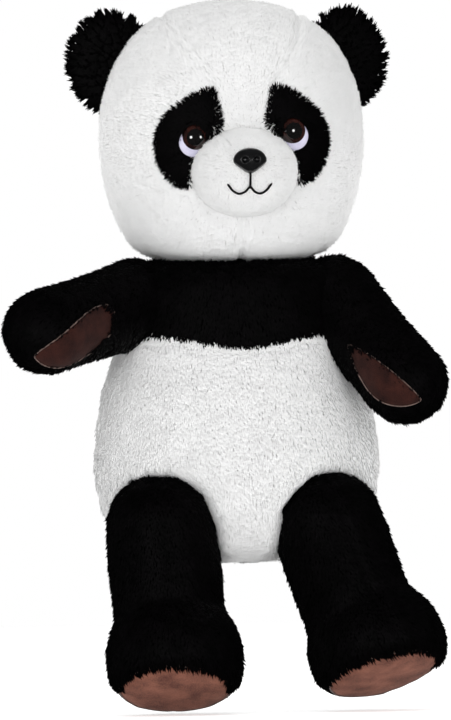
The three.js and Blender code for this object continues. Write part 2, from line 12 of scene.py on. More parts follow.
import bmesh
import bpy
import numpy as np
from mathutils import Matrix, Vector
from mathutils.bvhtree import BVHTree


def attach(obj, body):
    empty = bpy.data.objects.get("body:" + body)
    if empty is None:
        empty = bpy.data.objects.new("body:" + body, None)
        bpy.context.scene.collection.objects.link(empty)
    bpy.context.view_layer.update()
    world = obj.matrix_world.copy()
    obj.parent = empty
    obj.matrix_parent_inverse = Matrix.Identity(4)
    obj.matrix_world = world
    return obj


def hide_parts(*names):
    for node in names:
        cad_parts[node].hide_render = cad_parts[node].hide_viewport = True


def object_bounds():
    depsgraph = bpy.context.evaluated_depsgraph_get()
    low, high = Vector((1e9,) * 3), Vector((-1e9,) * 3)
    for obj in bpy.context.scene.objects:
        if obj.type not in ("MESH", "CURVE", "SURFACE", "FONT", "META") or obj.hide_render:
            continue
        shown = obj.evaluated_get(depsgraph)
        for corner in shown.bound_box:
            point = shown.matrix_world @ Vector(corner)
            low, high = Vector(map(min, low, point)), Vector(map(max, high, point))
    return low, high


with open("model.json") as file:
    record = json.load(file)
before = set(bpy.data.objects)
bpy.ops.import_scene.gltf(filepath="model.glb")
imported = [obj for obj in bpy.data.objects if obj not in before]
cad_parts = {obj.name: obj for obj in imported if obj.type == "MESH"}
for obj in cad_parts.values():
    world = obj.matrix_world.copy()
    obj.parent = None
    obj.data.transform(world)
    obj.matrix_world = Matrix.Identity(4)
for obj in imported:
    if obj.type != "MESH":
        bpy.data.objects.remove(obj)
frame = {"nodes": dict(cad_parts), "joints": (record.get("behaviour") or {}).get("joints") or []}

LOG = logging.getLogger("panda")
MM = 0.001
FAR = 99.0  # millimetres from a seam that a cover hasn't got there
CAD_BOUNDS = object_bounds()

Array = np.ndarray
Field = Callable[[Array], Array]
Shape = tuple[Array, list[list[int]]]
Object = bpy.types.Object
Mesh = bpy.types.Mesh
NodeTree = bpy.types.NodeTree
Socket = bpy.types.NodeSocket
Sockets = bpy.types.bpy_prop_collection


class Side(Enum):
    """The panda's own sides, with the sign of X that each lies on."""

    LEFT = 1
    RIGHT = -1

    @property
    def word(self) -> str:
        """The side as the frame's names spell it."""
        return self.name.lower()


class Slot(Enum):
    """The record's material slots."""

    WHITE_PLUSH = "white_plush"
    BLACK_PLUSH = "black_plush"
    VELOUR = "brown_velour"
    FILLING = "fibre_filling"
    EYE_WHITE = "eye_white_plastic"
    EYE_BROWN = "eye_brown_plastic"
    BLACK_PLASTIC = "black_gloss_plastic"
    BLACK_THREAD = "black_thread"
    WHITE_THREAD = "white_thread"
    LABEL = "label_satin"


# ---- where things are


def joint_position(name: str) -> Vector:
    """The pivot of a joint of the frame, in metres."""
    return next(Vector(j["pos_m"]) for j in frame["joints"] if j["name"] == name)


# The pattern is drawn in millimetres from the middle of the torso's foot, where the neck's pivot is at this point.
NECK_MM = Vector((0, 3, 274))
ORIGIN = joint_position("head_nod") - NECK_MM * MM


def at(x: float, y: float, z: float) -> Vector:
    """A point of the pattern, in the frame."""
    return ORIGIN + Vector((x, y, z)) * MM


def rows(points: Iterable[Vector]) -> Array:
    """Vectors as the rows of an array."""
    return np.array([tuple(p) for p in points], float)


def row(x: float, y: float, z: float) -> Array:
    """A point of the pattern, in the frame, as an array of one row."""
    return rows([at(x, y, z)])


def placed(points: Array) -> Array:
    """Points of the pattern, in the frame."""
    return points * MM + rows([ORIGIN])


def pattern(points: Array) -> Array:
    """Points of the frame, in the pattern."""
    return (points - rows([ORIGIN])) / MM


def unit(vectors: Array) -> Array:
    """Each row at length one, and a zero row left at zero."""
    return vectors / np.maximum(np.linalg.norm(vectors, axis=1, keepdims=True), 1e-9)


def tangent(directions: Array, normals: Array) -> Array:
    """Directions laid flat on a surface, each at length one."""
    return unit(directions - normals * np.sum(directions * normals, axis=1, keepdims=True))


def nearest(*distances: Array) -> Array:
    """The least of several distances for each point."""
    return np.minimum.reduce(distances)


def never(points: Array) -> Array:
    """The distance from the nearest seam on a cover that has none: a metre."""
    return np.full(len(points), 1.0)


def ramp(values: Array, low: float, high: float) -> Array:
    """0 below low, 1 above high, and smooth between."""
    t = np.clip((values - low) / (high - low), 0, 1)
    return t * t * (3 - 2 * t)


# ---- meshes


def mesh_object(name: str, vertices: Array, faces: Sequence[Sequence[int]]) -> Object:
    """Makes a smooth-shaded mesh object, with its place in its vertices.

    Args:
        name: the object's name.
        vertices: one row for each vertex, in metres.
        faces: vertex indices of each face, counterclockwise from outside.

    Returns:
        The object, linked to the scene.
    """
    mesh = bpy.data.meshes.new(name)
    mesh.from_pydata([tuple(v) for v in vertices], [], [tuple(f) for f in faces])
    mesh.shade_smooth()
    return linked(name, mesh)


def linked(name: str, data: bpy.types.ID) -> Object:
    """An object of a mesh, curve, lamp or camera, linked to the scene."""
    made = bpy.data.objects.new(name, data)
    bpy.context.scene.collection.objects.link(made)
    return made


def places(mesh: Mesh) -> Array:
    """The mesh's vertex positions, one row each."""
    out = np.empty(len(mesh.vertices) * 3, np.float32)
    mesh.vertices.foreach_get("co", out)
    return out.reshape(-1, 3).astype(float)


def facings(mesh: Mesh) -> Array:
    """The mesh's vertex normals, one row each."""
    out = np.empty(len(mesh.vertices) * 3, np.float32)
    mesh.vertex_normals.foreach_get("vector", out)
    return out.reshape(-1, 3).astype(float)


def move_to(mesh: Mesh, positions: Array) -> None:
    """Gives the mesh's vertices new positions."""
    mesh.vertices.foreach_set("co", positions.astype(np.float32).ravel())
    mesh.update()


def settle(made: Object) -> None:
    """Turns an object's modifiers into its plain mesh.

    Args:
        made: the object.
    """
    depsgraph = bpy.context.evaluated_depsgraph_get()
    fresh = bpy.data.meshes.new_from_object(made.evaluated_get(depsgraph))
    stale = made.data
    made.modifiers.clear()
    made.data = fresh
    bpy.data.meshes.remove(stale)
    fresh.name = made.name
    fresh.shade_smooth()


def apply_modifier(made: Object, kind: str, **settings: Any) -> None:
    """Adds one modifier and applies it.

    Args:
        made: the object to change.
        kind: the modifier's type.
        settings: its properties.
    """
    modifier = made.modifiers.new(kind.title(), kind)
    for name, value in settings.items():
        setattr(modifier, name, value)
    settle(made)


def smooth_curve(points: Sequence[Sequence[float]], steps: int, closed: bool = False) -> Array:
    """A Catmull-Rom curve through points.

    Args:
        points: the points it passes through.
        steps: how many pieces the curve has between two of them.
        closed: whether it joins its last point to its first.

    Returns:
        The points on the curve, one row each.
    """
    p = np.array(points, float)
    count = len(p) if closed else len(p) - 1
    out = []
    for i in range(count):
        around = (i - 1, i, i + 1, i + 2)
        a, b, c, d = (p[k % len(p) if closed else min(max(k, 0), len(p) - 1)] for k in around)
        for t in np.arange(steps) / steps:
            square = (2 * a - 5 * b + 4 * c - d) * t**2
            out.append(0.5 * (2 * b + (c - a) * t + square + (3 * b - a - 3 * c + d) * t**3))
    if not closed:
        out.append(p[-1])
    return np.array(out)


def revolve(profile: Array, around: int = 48, depth_share: float = 1.0) -> Shape:
    """A closed surface turned about Z.

    Args:
        profile: rows of radius and height, from the bottom pole to the top pole.
        around: how many sides it has.
        depth_share: how deep it is in Y for its width in X.

    Returns:
        Its vertices and faces.
    """
    angles = np.arange(around) * 2 * math.pi / around
    inner = profile[1:-1]
    parts = [[[0, 0, profile[0][1]]]]
    for r, z in inner:
        parts.append(np.stack([r * np.cos(angles), depth_share * r * np.sin(angles), np.full(around, z)], 1))
    vertices = np.concatenate([*parts, [[0, 0, profile[-1][1]]]])
    faces: list[list[int]] = []
    last = len(vertices) - 1
    for j in range(around):
        k = (j + 1) % around
        faces.append([0, 1 + k, 1 + j])
        for i in range(len(inner) - 1):
            low, high = 1 + i * around, 1 + (i + 1) * around
            faces.append([low + j, low + k, high + k, high + j])
        top = 1 + (len(inner) - 1) * around
        faces.append([top + j, top + k, last])
    return vertices, faces


def turned_profile(points: Sequence[tuple[float, float]]) -> Array:
    """A smooth profile of radius and height through points, with no radius under zero."""
    curve = smooth_curve(points, 4)
    curve[:, 0] = np.maximum(curve[:, 0], 0)
    return curve


def joined(parts: Sequence[Shape]) -> Shape:
    """Several meshes as one.

    Args:
        parts: the vertices and faces of each.

    Returns:
        All their vertices and faces.
    """
    vertices, faces, start = [], [], 0
    for v, f in parts:
        vertices.append(v)
        faces += [[i + start for i in face] for face in f]
        start += len(v)
    return np.concatenate(vertices), faces


def ball(radii: Sequence[float], centre: Sequence[float], around: int = 32, up: int = 16) -> Shape:
    """An ellipsoid.

    Args:
        radii: its half sizes in X, Y and Z.
        centre: its middle, in the same units.
        around: how many sides it has.
        up: how many rings of faces it has.

    Returns:
        Its vertices and faces.
    """
    a = np.linspace(-math.pi / 2, math.pi / 2, up + 1)
    vertices, faces = revolve(np.stack([np.cos(a), np.sin(a)], 1), around)
    return vertices * np.array(radii) + np.array(centre), faces


def ring_tube(path: Array, radius: float, sides: int = 8) -> Shape:
    """A round tube along a path that joins its own start.

    Args:
        path: the points of its middle line, in metres.
        radius: its radius, in metres.
        sides: how many sides it has.

    Returns:
        Its vertices and faces.
    """
    ahead = unit(np.roll(path, -1, 0) - np.roll(path, 1, 0))
    up = np.array([0.0, 0.0, 1.0]) if abs(ahead[0][2]) < 0.8 else np.array([0.0, 1.0, 0.0])
    vertices, faces = [], []
    for i, (p, t) in enumerate(zip(path, ahead, strict=True)):
        up = up - t * up.dot(t)
        up /= np.linalg.norm(up)
        side = np.cross(t, up)
        j = (i + 1) % len(path)
        for k in range(sides):
            a = 2 * math.pi * k / sides
            m = (k + 1) % sides
            vertices.append(p + radius * (math.cos(a) * up + math.sin(a) * side))
            faces.append([i * sides + m, j * sides + m, j * sides + k, i * sides + k])
    return np.array(vertices), faces


def cut(made: Object, height: float, keep_above: bool) -> None:
    """Cuts an object's mesh at a height.

    Args:
        made: the object.
        height: where the level cut goes, in metres.
        keep_above: whether the upper part stays, or the lower.
    """
    work = bmesh.new()
    work.from_mesh(made.data)
    bmesh.ops.bisect_plane(
        work,
        geom=[*work.verts, *work.edges, *work.faces],
        plane_co=Vector((0, 0, height)),
        plane_no=Vector((0, 0, 1)),
        clear_inner=keep_above,
        clear_outer=not keep_above,
    )
    work.to_mesh(made.data)
    work.free()
    made.data.update()


def tree_of(mesh: Mesh) -> BVHTree:
    """A search tree of the mesh's faces."""
    return BVHTree.FromPolygons([v.co for v in mesh.vertices], [tuple(p.vertices) for p in mesh.polygons])


def inside_outline(points: Array, outline: Array) -> Array:
    """Whether each 2D point is inside a closed outline.

    Args:
        points: one row each.
        outline: the outline's points in order.

    Returns:
        True for each point inside.
    """
    result = np.zeros(len(points), bool)
    following = np.roll(outline, -1, 0)
    for (x0, y0), (x1, y1) in zip(outline, following, strict=True):
        crosses = (y0 > points[:, 1]) != (y1 > points[:, 1])
        slope = (x1 - x0) / (y1 - y0 if y1 != y0 else 1e-12)
        result ^= crosses & (points[:, 0] < x0 + slope * (points[:, 1] - y0))
    return result


# ---- node trees


def add_node(
    tree: NodeTree,
    kind: str,
    settings: dict[str, Any] | None = None,
    inputs: dict[str | int, Any] | None = None,
) -> bpy.types.Node:
    """Adds a node with its settings, values and links.

    Args:
        tree: the node tree.
        kind: the node's type.
        settings: properties of the node.
        inputs: for each input, a value to set or an output socket to link from.

    Returns:
        The node.
    """
    node = tree.nodes.new(kind)
    for name, value in (settings or {}).items():
        setattr(node, name, value)
    for key, value in (inputs or {}).items():
        if isinstance(value, Socket):
            tree.links.new(value, node.inputs[key])
        else:
            node.inputs[key].default_value = value
    return node


def new_tree(name: str, inputs: Sequence[tuple[str, str]], output: str) -> tuple[NodeTree, dict[str, str]]:
    """Starts a geometry tree.

    Args:
        name: the tree's name.
        inputs: each input's name and kind.
        output: the name of what it makes.

    Returns:
        The tree, and the identifier of each input.
    """
    tree = bpy.data.node_groups.new(name, "GeometryNodeTree")
    sockets = {}
    for title, kind in inputs:
        made = tree.interface.new_socket(name=title, in_out="INPUT", socket_type=f"NodeSocket{kind}")
        sockets[title] = made.identifier
    tree.interface.new_socket(name=output, in_out="OUTPUT", socket_type="NodeSocketGeometry")
    return tree, sockets


def plant(tree: NodeTree, points: Socket, thing: Socket, turn: Socket, size: Socket, material: Socket) -> None:
    """Ends a tree: a thing set on each point, made real and given its material.

    Args:
        tree: the geometry tree.
        points: where the things go.
        thing: what goes there.
        turn: how each is turned.
        size: how each is scaled.
        material: the material that they get.
    """
    inputs = {"Points": points, "Instance": thing, "Rotation": turn, "Scale": size}
    planted = add_node(tree, "GeometryNodeInstanceOnPoints", inputs=inputs)
    real = add_node(tree, "GeometryNodeRealizeInstances", inputs={"Geometry": planted.outputs[0]})
    dyed = add_node(tree, "GeometryNodeSetMaterial", inputs={"Geometry": real.outputs[0], "Material": material})
    add_node(tree, "NodeGroupOutput", inputs={0: dyed.outputs[0]})


def give(made: Object, tree: NodeTree, sockets: dict[str, str], values: dict[str, Any]) -> None:
    """Puts a tree on an object as a modifier.

    Args:
        made: the object.
        tree: the geometry tree.
        sockets: the identifier of each input.
        values: the value of each input, by its name.
    """
    modifier = made.modifiers.new(tree.name, "NODES")
    modifier.node_group = tree
    for name, value in values.items():
        modifier[sockets[name]] = value


def linear(hexadecimal: str) -> tuple[float, float, float, float]:
    """An sRGB colour such as "#a0b0c0" as linear red, green, blue and alpha."""
    values = [int(hexadecimal[i : i + 2], 16) / 255 for i in (1, 3, 5)]
    return (*[v / 12.92 if v <= 0.04045 else ((v + 0.055) / 1.055) ** 2.4 for v in values], 1.0)


@dataclass(frozen=True)
class Finish:
    """A surface finish: two shades mixed in a pattern, and a relief from the same pattern.

    The grain is the pattern's real size in millimetres, the blotch that of its slow change in tone, and the
    relief its height. Softness is the share of light that scatters under the surface.
    """

    name: str
    shade: str
    light: str
    grain: float
    blotch: float
    roughness: float
    relief: float = 0.0
    sheen: float = 0.0
    coat: float = 0.0
    ior: float = 1.5
    specular: float = 0.5
    weave: bool = False
    softness: float = 0.0

    def build(self) -> bpy.types.Material:
        """Makes the finish a material, once.

        Returns:
            The material.
        """
        made = bpy.data.materials.get(self.name)
        if made:
            return made
        made = bpy.data.materials.new(self.name)
        made.use_nodes = True
        tree = made.node_tree
        tree.nodes.clear()
        where = add_node(tree, "ShaderNodeTexCoord").outputs["Object"]
        grain = self._grain(tree, where)
        slow = self._noise(tree, where, self.blotch, 2.0, 0.5)
        both = add_node(tree, "ShaderNodeMath", {"operation": "ADD"}, {0: grain, 1: slow}).outputs[0]
        share = self._between(tree, both, 0.7, 1.3, 0.0, 1.0)
        shades = {"Factor": share, 6: linear(self.shade), 7: linear(self.light)}
        colour = add_node(tree, "ShaderNodeMix", {"data_type": "RGBA"}, shades)
        least, most = max(self.roughness - 0.06, 0.02), min(self.roughness + 0.06, 1.0)
        rough = self._between(tree, grain, 0.0, 1.0, least, most)
        shader = add_node(
            tree,
            "ShaderNodeBsdfPrincipled",
            inputs={
                "Base Color": colour.outputs[2],
                "Roughness": rough,
                "Sheen Weight": self.sheen,
                "Sheen Roughness": 0.5,
                "Coat Weight": self.coat,
                "Coat Roughness": 0.04,
                "IOR": self.ior,
                "Specular IOR Level": self.specular,
                "Subsurface Weight": self.softness,
                "Subsurface Radius": (1.0, 0.98, 0.95),
                "Subsurface Scale": 1.5 * MM,
            },
        )
        if self.relief:
            heights = {"Height": grain, "Distance": self.relief * MM, "Strength": 1.0}
            bump = add_node(tree, "ShaderNodeBump", inputs=heights)
            tree.links.new(bump.outputs[0], shader.inputs["Normal"])
        add_node(tree, "ShaderNodeOutputMaterial", inputs={"Surface": shader.outputs[0]})
        return made

    def _between(
        self, tree: NodeTree, value: Socket, low: float, high: float, to_low: float, to_high: float
    ) -> Socket:
        """A value moved from one range to another, and held in it."""
        inputs = {"Value": value, "From Min": low, "From Max": high, "To Min": to_low, "To Max": to_high}
        return add_node(tree, "ShaderNodeMapRange", inputs=inputs).outputs[0]

    def _noise(self, tree: NodeTree, where: Socket, size: float, detail: float, roughness: float) -> Socket:
        """Noise from 0 to 1, its size in millimetres."""
        inputs = {"Vector": where, "Scale": 1 / (size * MM), "Detail": detail, "Roughness": roughness}
        return add_node(tree, "ShaderNodeTexNoise", inputs=inputs).outputs["Fac"]

    def _grain(self, tree: NodeTree, where: Socket) -> Socket:
        """The fine pattern as a value from 0 to 1: slanting threads, or noise.

        Args:
            tree: the material's tree.
            where: Object coordinates.

        Returns:
            The value's socket.
        """
        if not self.weave:
            return self._noise(tree, where, self.grain, 3.0, 0.6)
        inputs = {"Vector": where, "Scale": 0.31 / (self.grain * MM), "Distortion": 0.6, "Detail": 1.0}
        return add_node(tree, "ShaderNodeTexWave", {"bands_direction": "DIAGONAL"}, inputs).outputs["Fac"]


# Knitted polyester backing of the plush: matt, with a fine slanting rib that shows where the pile parts.
WHITE_BACKING = Finish("white_knit_backing", "#e9e9e8", "#f7f7f6", 1.1, 12.0, 0.92, 0.15, specular=0.1, weave=True)
BLACK_BACKING = Finish("black_knit_backing", "#020202", "#050405", 1.1, 12.0, 0.9, 0.15, specular=0.05, weave=True)
# White polyester pile: fibres that pass light on to each other, so it looks soft and its shadows are pale.
WHITE_PILE = Finish("white_polyester_pile", "#f8f8f7", "#fefefd", 2.2, 9.0, 0.85, specular=0.08, softness=0.4)
# Black dyed polyester pile: takes nearly all light, with a faint shine on the fibres.
BLACK_PILE = Finish("black_polyester_pile", "#020202", "#070507", 2.2, 9.0, 0.55, specular=0.07)
# Brown velour, a short shaved nap, matt, with brushed blotches; this copy is darkened with painted shade, for the
# paw pads that face down out of the light.
PAINTED_SHADE_VELOUR = Finish("brown_velour_dark", "#1d0c0a", "#351913", 0.7, 9.0, 0.88, 0.2, sheen=0.03, specular=0.12)
# The same velour with painted light: paler, for the soles that face the lamps, with broad streaks.
PAINTED_LIGHT_VELOUR = Finish("brown_velour_brushed", "#4a251b", "#8a5846", 0.7, 14.0, 0.88, 0.2, sheen=0.06, specular=0.12)
# The velour's turned edge: a thin tube, paler and greyer than the pad.
VELOUR_WELT = Finish("brown_velour_turned_edge", "#4b3731", "#705c54", 0.7, 5.0, 0.85, 0.1, sheen=0.2)
# Loose polyester filling: wispy, white and without shine.
POLYFILL = Finish("polyester_fibre_filling", "#e4e4e2", "#ffffff", 2.0, 14.0, 1.0, 0.8)
# Moulded acrylic: very smooth and clear-coated, so it shows the lamps as small sharp lights.
EYE_WHITE = Finish("white_acrylic", "#b4b0c8", "#cdcadb", 6.0, 9.0, 0.16, coat=0.6, ior=1.49)
# The brown is darkened nearly to black, partly painted shade: the brow fur's shadow over the iris.
EYE_BROWN = Finish("brown_acrylic", "#0e0403", "#30120d", 3.4, 6.0, 0.12, coat=1.0, ior=1.49)
EYE_BLACK = Finish("black_acrylic", "#020202", "#060505", 6.0, 9.0, 0.08, coat=1.0, ior=1.55)
# Moulded ABS with a spark-eroded skin: satin, with a faint grain.
NOSE_BLACK = Finish("black_satin_abs", "#050506", "#101012", 0.9, 6.0, 0.3, 0.04, coat=0.3, ior=1.53)
# Injection-moulded polyethylene: milky, waxy and half matt.
WASHER = Finish("natural_polyethylene", "#c9c9c4", "#e6e6e1", 1.5, 6.0, 0.5, 0.05)
# Twisted threads, their twist drawn as slanting bands: cotton is matt, and spun polyester has a soft shine.
BLACK_THREAD = Finish("black_embroidery_cotton", "#040404", "#0f0d0f", 0.6, 4.0, 0.7, 0.12, specular=0.2, weave=True)
WHITE_THREAD = Finish("white_sewing_thread", "#d8d8d4", "#f6f6f3", 0.6, 4.0, 0.6, 0.12, sheen=0.2, weave=True)
# Woven satin ribbon: smooth with a soft shine, its weave drawn coarser than it is so that it shows.
SATIN = Finish("white_polyester_satin", "#e2e2df", "#fafaf8", 0.5, 8.0, 0.32, 0.05, sheen=0.3, weave=True)
# Matt paper of the studio's floor.
PAPER = Finish("matt_white_paper", "#f6f6f6", "#fbfbfb", 3.0, 60.0, 0.9)


def finish_piece(
    made: Object,
    finish: Finish,
    slot: Slot,
    body: str,
    nodes: Sequence[str] = (),
    fill: float | None = None,
) -> None:
    """Gives a piece its finish and body, and hides the frame's nodes that it replaces.

    Args:
        made: the piece, with its place in its mesh.
        finish: what it is made of.
        slot: the record's slot that it belongs to; not used.
        body: the frame's body that it moves with.
        nodes: the frame's nodes that it replaces.
        fill: how full a padded piece is, or None for a piece that isn't padded; not used.
    """
    made.data.materials.clear()
    made.data.materials.append(finish.build())
    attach(made, body)
    if nodes:
        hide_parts(*nodes)


# ---- pile


@dataclass(frozen=True)
class Pile:
    """How a plush's pile stands: lengths in millimetres, and how far its fibres lie over, clump and fray."""

    finish: Finish
    slot: Slot
    length: float
    width: float
    density: float  # fibres to a square millimetre
    lean: float = 0.9
    clump: float = 0.5
    clump_size: float = 6.0
    wander: float = 0.7
    fray: float = 0.28
    curl: float = 0.18
    softness: float = 0.8


white_pile = partial(Pile, WHITE_PILE, Slot.WHITE_PLUSH)
black_pile = partial(Pile, BLACK_PILE, Slot.BLACK_PLUSH)
# Pile combed flat and even, as on the head and the belly, and the black pile's looser lie.
COMBED = {"lean": 1.6, "clump": 0.14, "clump_size": 9.0, "wander": 0.35, "fray": 0.2, "softness": 0.97}
LAID = {"lean": 1.25, "clump": 0.2, "clump_size": 6.0, "wander": 0.4}


class Growth:
    """Grows pile on a cover with one node tree, and turns it into plain meshes.

    A blade is widest and bends over at shares of its length, and its root is sunk, in metres. Blades differ in their
    turn about their own length, in radians, and in their height.
    """

    belly_share = 0.45
    tip_share = 0.75
    root_depth = 0.0003
    most_turn = 0.5
    shortest = 0.72
    longest = 1.18
    quick_share = 0.25
    quick_width = 1.6

    def __init__(self) -> None:
        """Builds the tree."""
        inputs = [("Cover", "Geometry"), ("Seed", "Int"), ("Material", "Material")]
        numbers = ("Density", "Length", "Width", "Lean", "Clump", "Clump Size", "Wander", "Fray", "Curl")
        inputs += [(name, "Float") for name in numbers]
        self.tree, self.sockets = new_tree("plush_pile", inputs, "Pile")
        self._grow()

    def _math(self, operation: str, first: Any, second: Any) -> Socket:
        """A number from two numbers."""
        return add_node(self.tree, "ShaderNodeMath", {"operation": operation}, {0: first, 1: second}).outputs[0]

    def _compare(self, operation: str, first: Any, second: Any) -> Socket:
        """Whether a number is more or less than another."""
        return add_node(self.tree, "FunctionNodeCompare", {"operation": operation}, {0: first, 1: second}).outputs[0]

    def _vector(self, operation: str, first: Any, other: Any, key: int | str = 1) -> Socket:
        """A vector from a vector and another, or from a vector and a scale."""
        inputs = {0: first, key: other}
        return add_node(self.tree, "ShaderNodeVectorMath", {"operation": operation}, inputs).outputs[0]

    def _read(self, name: str, kind: str) -> Socket:
        """One of the cover's attributes."""
        node = add_node(self.tree, "GeometryNodeInputNamedAttribute", {"data_type": kind}, {"Name": name})
        return node.outputs["Attribute"]

    def _random(self, low: float, high: float, seed: Socket) -> Socket:
        """A random number for each fibre."""
        inputs = {2: low, 3: high, "Seed": seed}
        return add_node(self.tree, "FunctionNodeRandomValue", {"data_type": "FLOAT"}, inputs).outputs[1]

    def _fibre(self, given: Sockets) -> Socket:
        """Makes one bent blade with four faces, pointed at both ends, standing on the origin.

        A three-sided cone is the start. Two of its foot's corners rise to be the blade's edges, the third sinks to
        be its root, and its top bends over.

        Args:
            given: the tree's inputs.

        Returns:
            The blade's geometry.
        """
        tree = self.tree
        length = given["Length"]
        cone = add_node(
            tree,
            "GeometryNodeMeshCone",
            {"fill_type": "NGON"},
            {"Vertices": 3, "Side Segments": 1, "Radius Top": 0.0, "Radius Bottom": given["Width"], "Depth": length},
        )
        spot = add_node(tree, "GeometryNodeInputPosition").outputs[0]
        split = add_node(tree, "ShaderNodeSeparateXYZ", inputs={0: spot})
        is_tip = self._compare("GREATER_THAN", split.outputs["Z"], self._math("MULTIPLY", length, self.tip_share))
        is_edge = self._compare("LESS_THAN", split.outputs["X"], -1e-5)
        is_root = self._compare("GREATER_THAN", split.outputs["X"], 1e-5)
        belly = self._math("MULTIPLY", length, self.belly_share)
        edge = add_node(tree, "ShaderNodeCombineXYZ", inputs={"Z": belly})
        bend = self._math("MULTIPLY", given["Curl"], length)
        tip = add_node(tree, "ShaderNodeCombineXYZ", inputs={"X": bend, "Z": self._math("MULTIPLY", bend, -0.5)})
        shape = cone.outputs["Mesh"]
        for chosen, inputs in (
            (is_edge, {"Offset": edge.outputs[0]}),
            (is_root, {"Position": (0.0, 0.0, -self.root_depth)}),
            (is_tip, {"Offset": tip.outputs[0]}),
        ):
            inputs |= {"Geometry": shape, "Selection": chosen}
            shape = add_node(tree, "GeometryNodeSetPosition", inputs=inputs).outputs[0]
        return add_node(tree, "GeometryNodeSetShadeSmooth", inputs={"Geometry": shape}).outputs[0]

    def _lie(self, normal: Socket, comb: Socket, given: Sockets) -> Socket:
        """Works out the way each fibre points: off the cover, over with the comb, to its clump, and loose.

        Args:
            normal: the way the cover faces.
            comb: the way the pile is combed.
            given: the tree's inputs.

        Returns:
            The way, as a vector of any length.
        """
        tree = self.tree
        spot = add_node(tree, "GeometryNodeInputPosition").outputs[0]
        per_metre = self._math("DIVIDE", 1.0, given["Clump Size"])
        settings = {"voronoi_dimensions": "3D", "feature": "F1"}
        cell = add_node(tree, "ShaderNodeTexVoronoi", settings, {"Vector": spot, "Scale": per_metre})
        inward = self._vector("SUBTRACT", cell.outputs["Position"], spot)
        waves = {"Vector": spot, "Scale": self._math("MULTIPLY", per_metre, 0.6), "Detail": 1.0}
        slow = add_node(tree, "ShaderNodeTexNoise", inputs=waves)
        drift = self._vector("SUBTRACT", slow.outputs["Color"], (0.5, 0.5, 0.5))
        spread = {0: (-1.0, -1.0, -1.0), 1: (1.0, 1.0, 1.0), "Seed": given["Seed"]}
        loose = add_node(tree, "FunctionNodeRandomValue", {"data_type": "FLOAT_VECTOR"}, spread).outputs[0]
        pull = self._math("DIVIDE", given["Clump"], self._math("MULTIPLY", given["Clump Size"], 0.5))
        lie = normal
        for part, share in ((comb, given["Lean"]), (inward, pull), (drift, given["Wander"]), (loose, given["Fray"])):
            lie = self._vector("ADD", lie, self._vector("SCALE", part, share, "Scale"))
        return lie

    def _grow(self) -> None:
        """Scatters fibres over the cover and turns each to its lie."""
        tree = self.tree
        given = add_node(tree, "NodeGroupInput").outputs
        thick = self._math("MULTIPLY", given["Density"], self._read("pile", "FLOAT"))
        thrown = {"Mesh": given["Cover"], "Density": thick, "Seed": given["Seed"]}
        scatter = add_node(tree, "GeometryNodeDistributePointsOnFaces", {"distribute_method": "RANDOM"}, thrown)
        normal = scatter.outputs["Normal"]
        comb = self._read("comb", "FLOAT_VECTOR")
        lie = self._lie(normal, comb, given)
        stand = add_node(tree, "FunctionNodeAlignRotationToVector", {"axis": "Z"}, {"Vector": lie})
        combed = {"Rotation": stand.outputs[0], "Vector": comb}
        turned = add_node(tree, "FunctionNodeAlignRotationToVector", {"axis": "X", "pivot_axis": "Z"}, combed)
        angle = self._random(-self.most_turn, self.most_turn, given["Seed"])
        spin = add_node(tree, "FunctionNodeAxisAngleToRotation", inputs={"Axis": (0.0, 0.0, 1.0), "Angle": angle})
        both = {"Rotation": turned.outputs[0], "Rotate By": spin.outputs[0]}
        rotation = add_node(tree, "FunctionNodeRotateRotation", {"rotation_space": "LOCAL"}, both)
        grown = self._random(self.shortest, self.longest, given["Seed"])
        tall = self._math("MULTIPLY", grown, self._read("height", "FLOAT"))
        size = add_node(tree, "ShaderNodeCombineXYZ", inputs={"X": 1.0, "Y": 1.0, "Z": tall})
        kind = {"data_type": "FLOAT_VECTOR", "domain": "POINT"}
        kept = {"Geometry": scatter.outputs["Points"], "Name": "ground", "Value": normal}
        ground = add_node(tree, "GeometryNodeStoreNamedAttribute", kind, kept)
        plant(tree, ground.outputs[0], self._fibre(given), rotation.outputs[0], size.outputs[0], given["Material"])

    def grow(
        self,
        name: str,
        cover: Object,
        pile: Pile,
        body: str,
        seed: int,
        mask: Array,
        comb: Array,
        height: Array | float,
    ) -> None:
        """Grows one piece of pile, as a plain mesh.

        Args:
            name: the new piece's name.
            cover: the piece that it grows on.
            pile: how it stands.
            body: the frame's body that it moves with.
            seed: what its random values start from.
            mask: for each vertex of the cover, 1 where pile grows and 0 where none does.
            comb: for each vertex, the way the pile lies.
            height: for each vertex, or for all, a factor on the pile's length.
        """
        ground = linked(name, cover.data.copy())
        for key, kind, values in (
            ("pile", "FLOAT", mask),
            ("height", "FLOAT", np.broadcast_to(height, len(mask))),
            ("comb", "FLOAT_VECTOR", comb),
        ):
            attribute = ground.data.attributes.new(key, kind, "POINT")
            word = "vector" if kind == "FLOAT_VECTOR" else "value"
            attribute.data.foreach_set(word, np.ascontiguousarray(values, np.float32).ravel())
        values = {
            "Seed": seed,
            "Material": pile.finish.build(),
            "Density": pile.density * 1.0 / MM**2,
            "Length": pile.length * MM,
            "Width": pile.width * MM * 1.0,
            "Lean": pile.lean,
            "Clump": pile.clump,
            "Clump Size": pile.clump_size * MM,
            "Wander": pile.wander,
            "Fray": pile.fray,
            "Curl": pile.curl,
        }
        give(ground, self.tree, self.sockets, values)
        settle(ground)
        self._soften(ground.data, pile.softness)
        for key in ("pile", "height", "comb", "ground"):
            stale = ground.data.attributes.get(key)
            if stale:
                ground.data.attributes.remove(stale)
        finish_piece(ground, pile.finish, pile.slot, body)
        LOG.info("%s: %d fibres", name, len(ground.data.polygons) // 4)

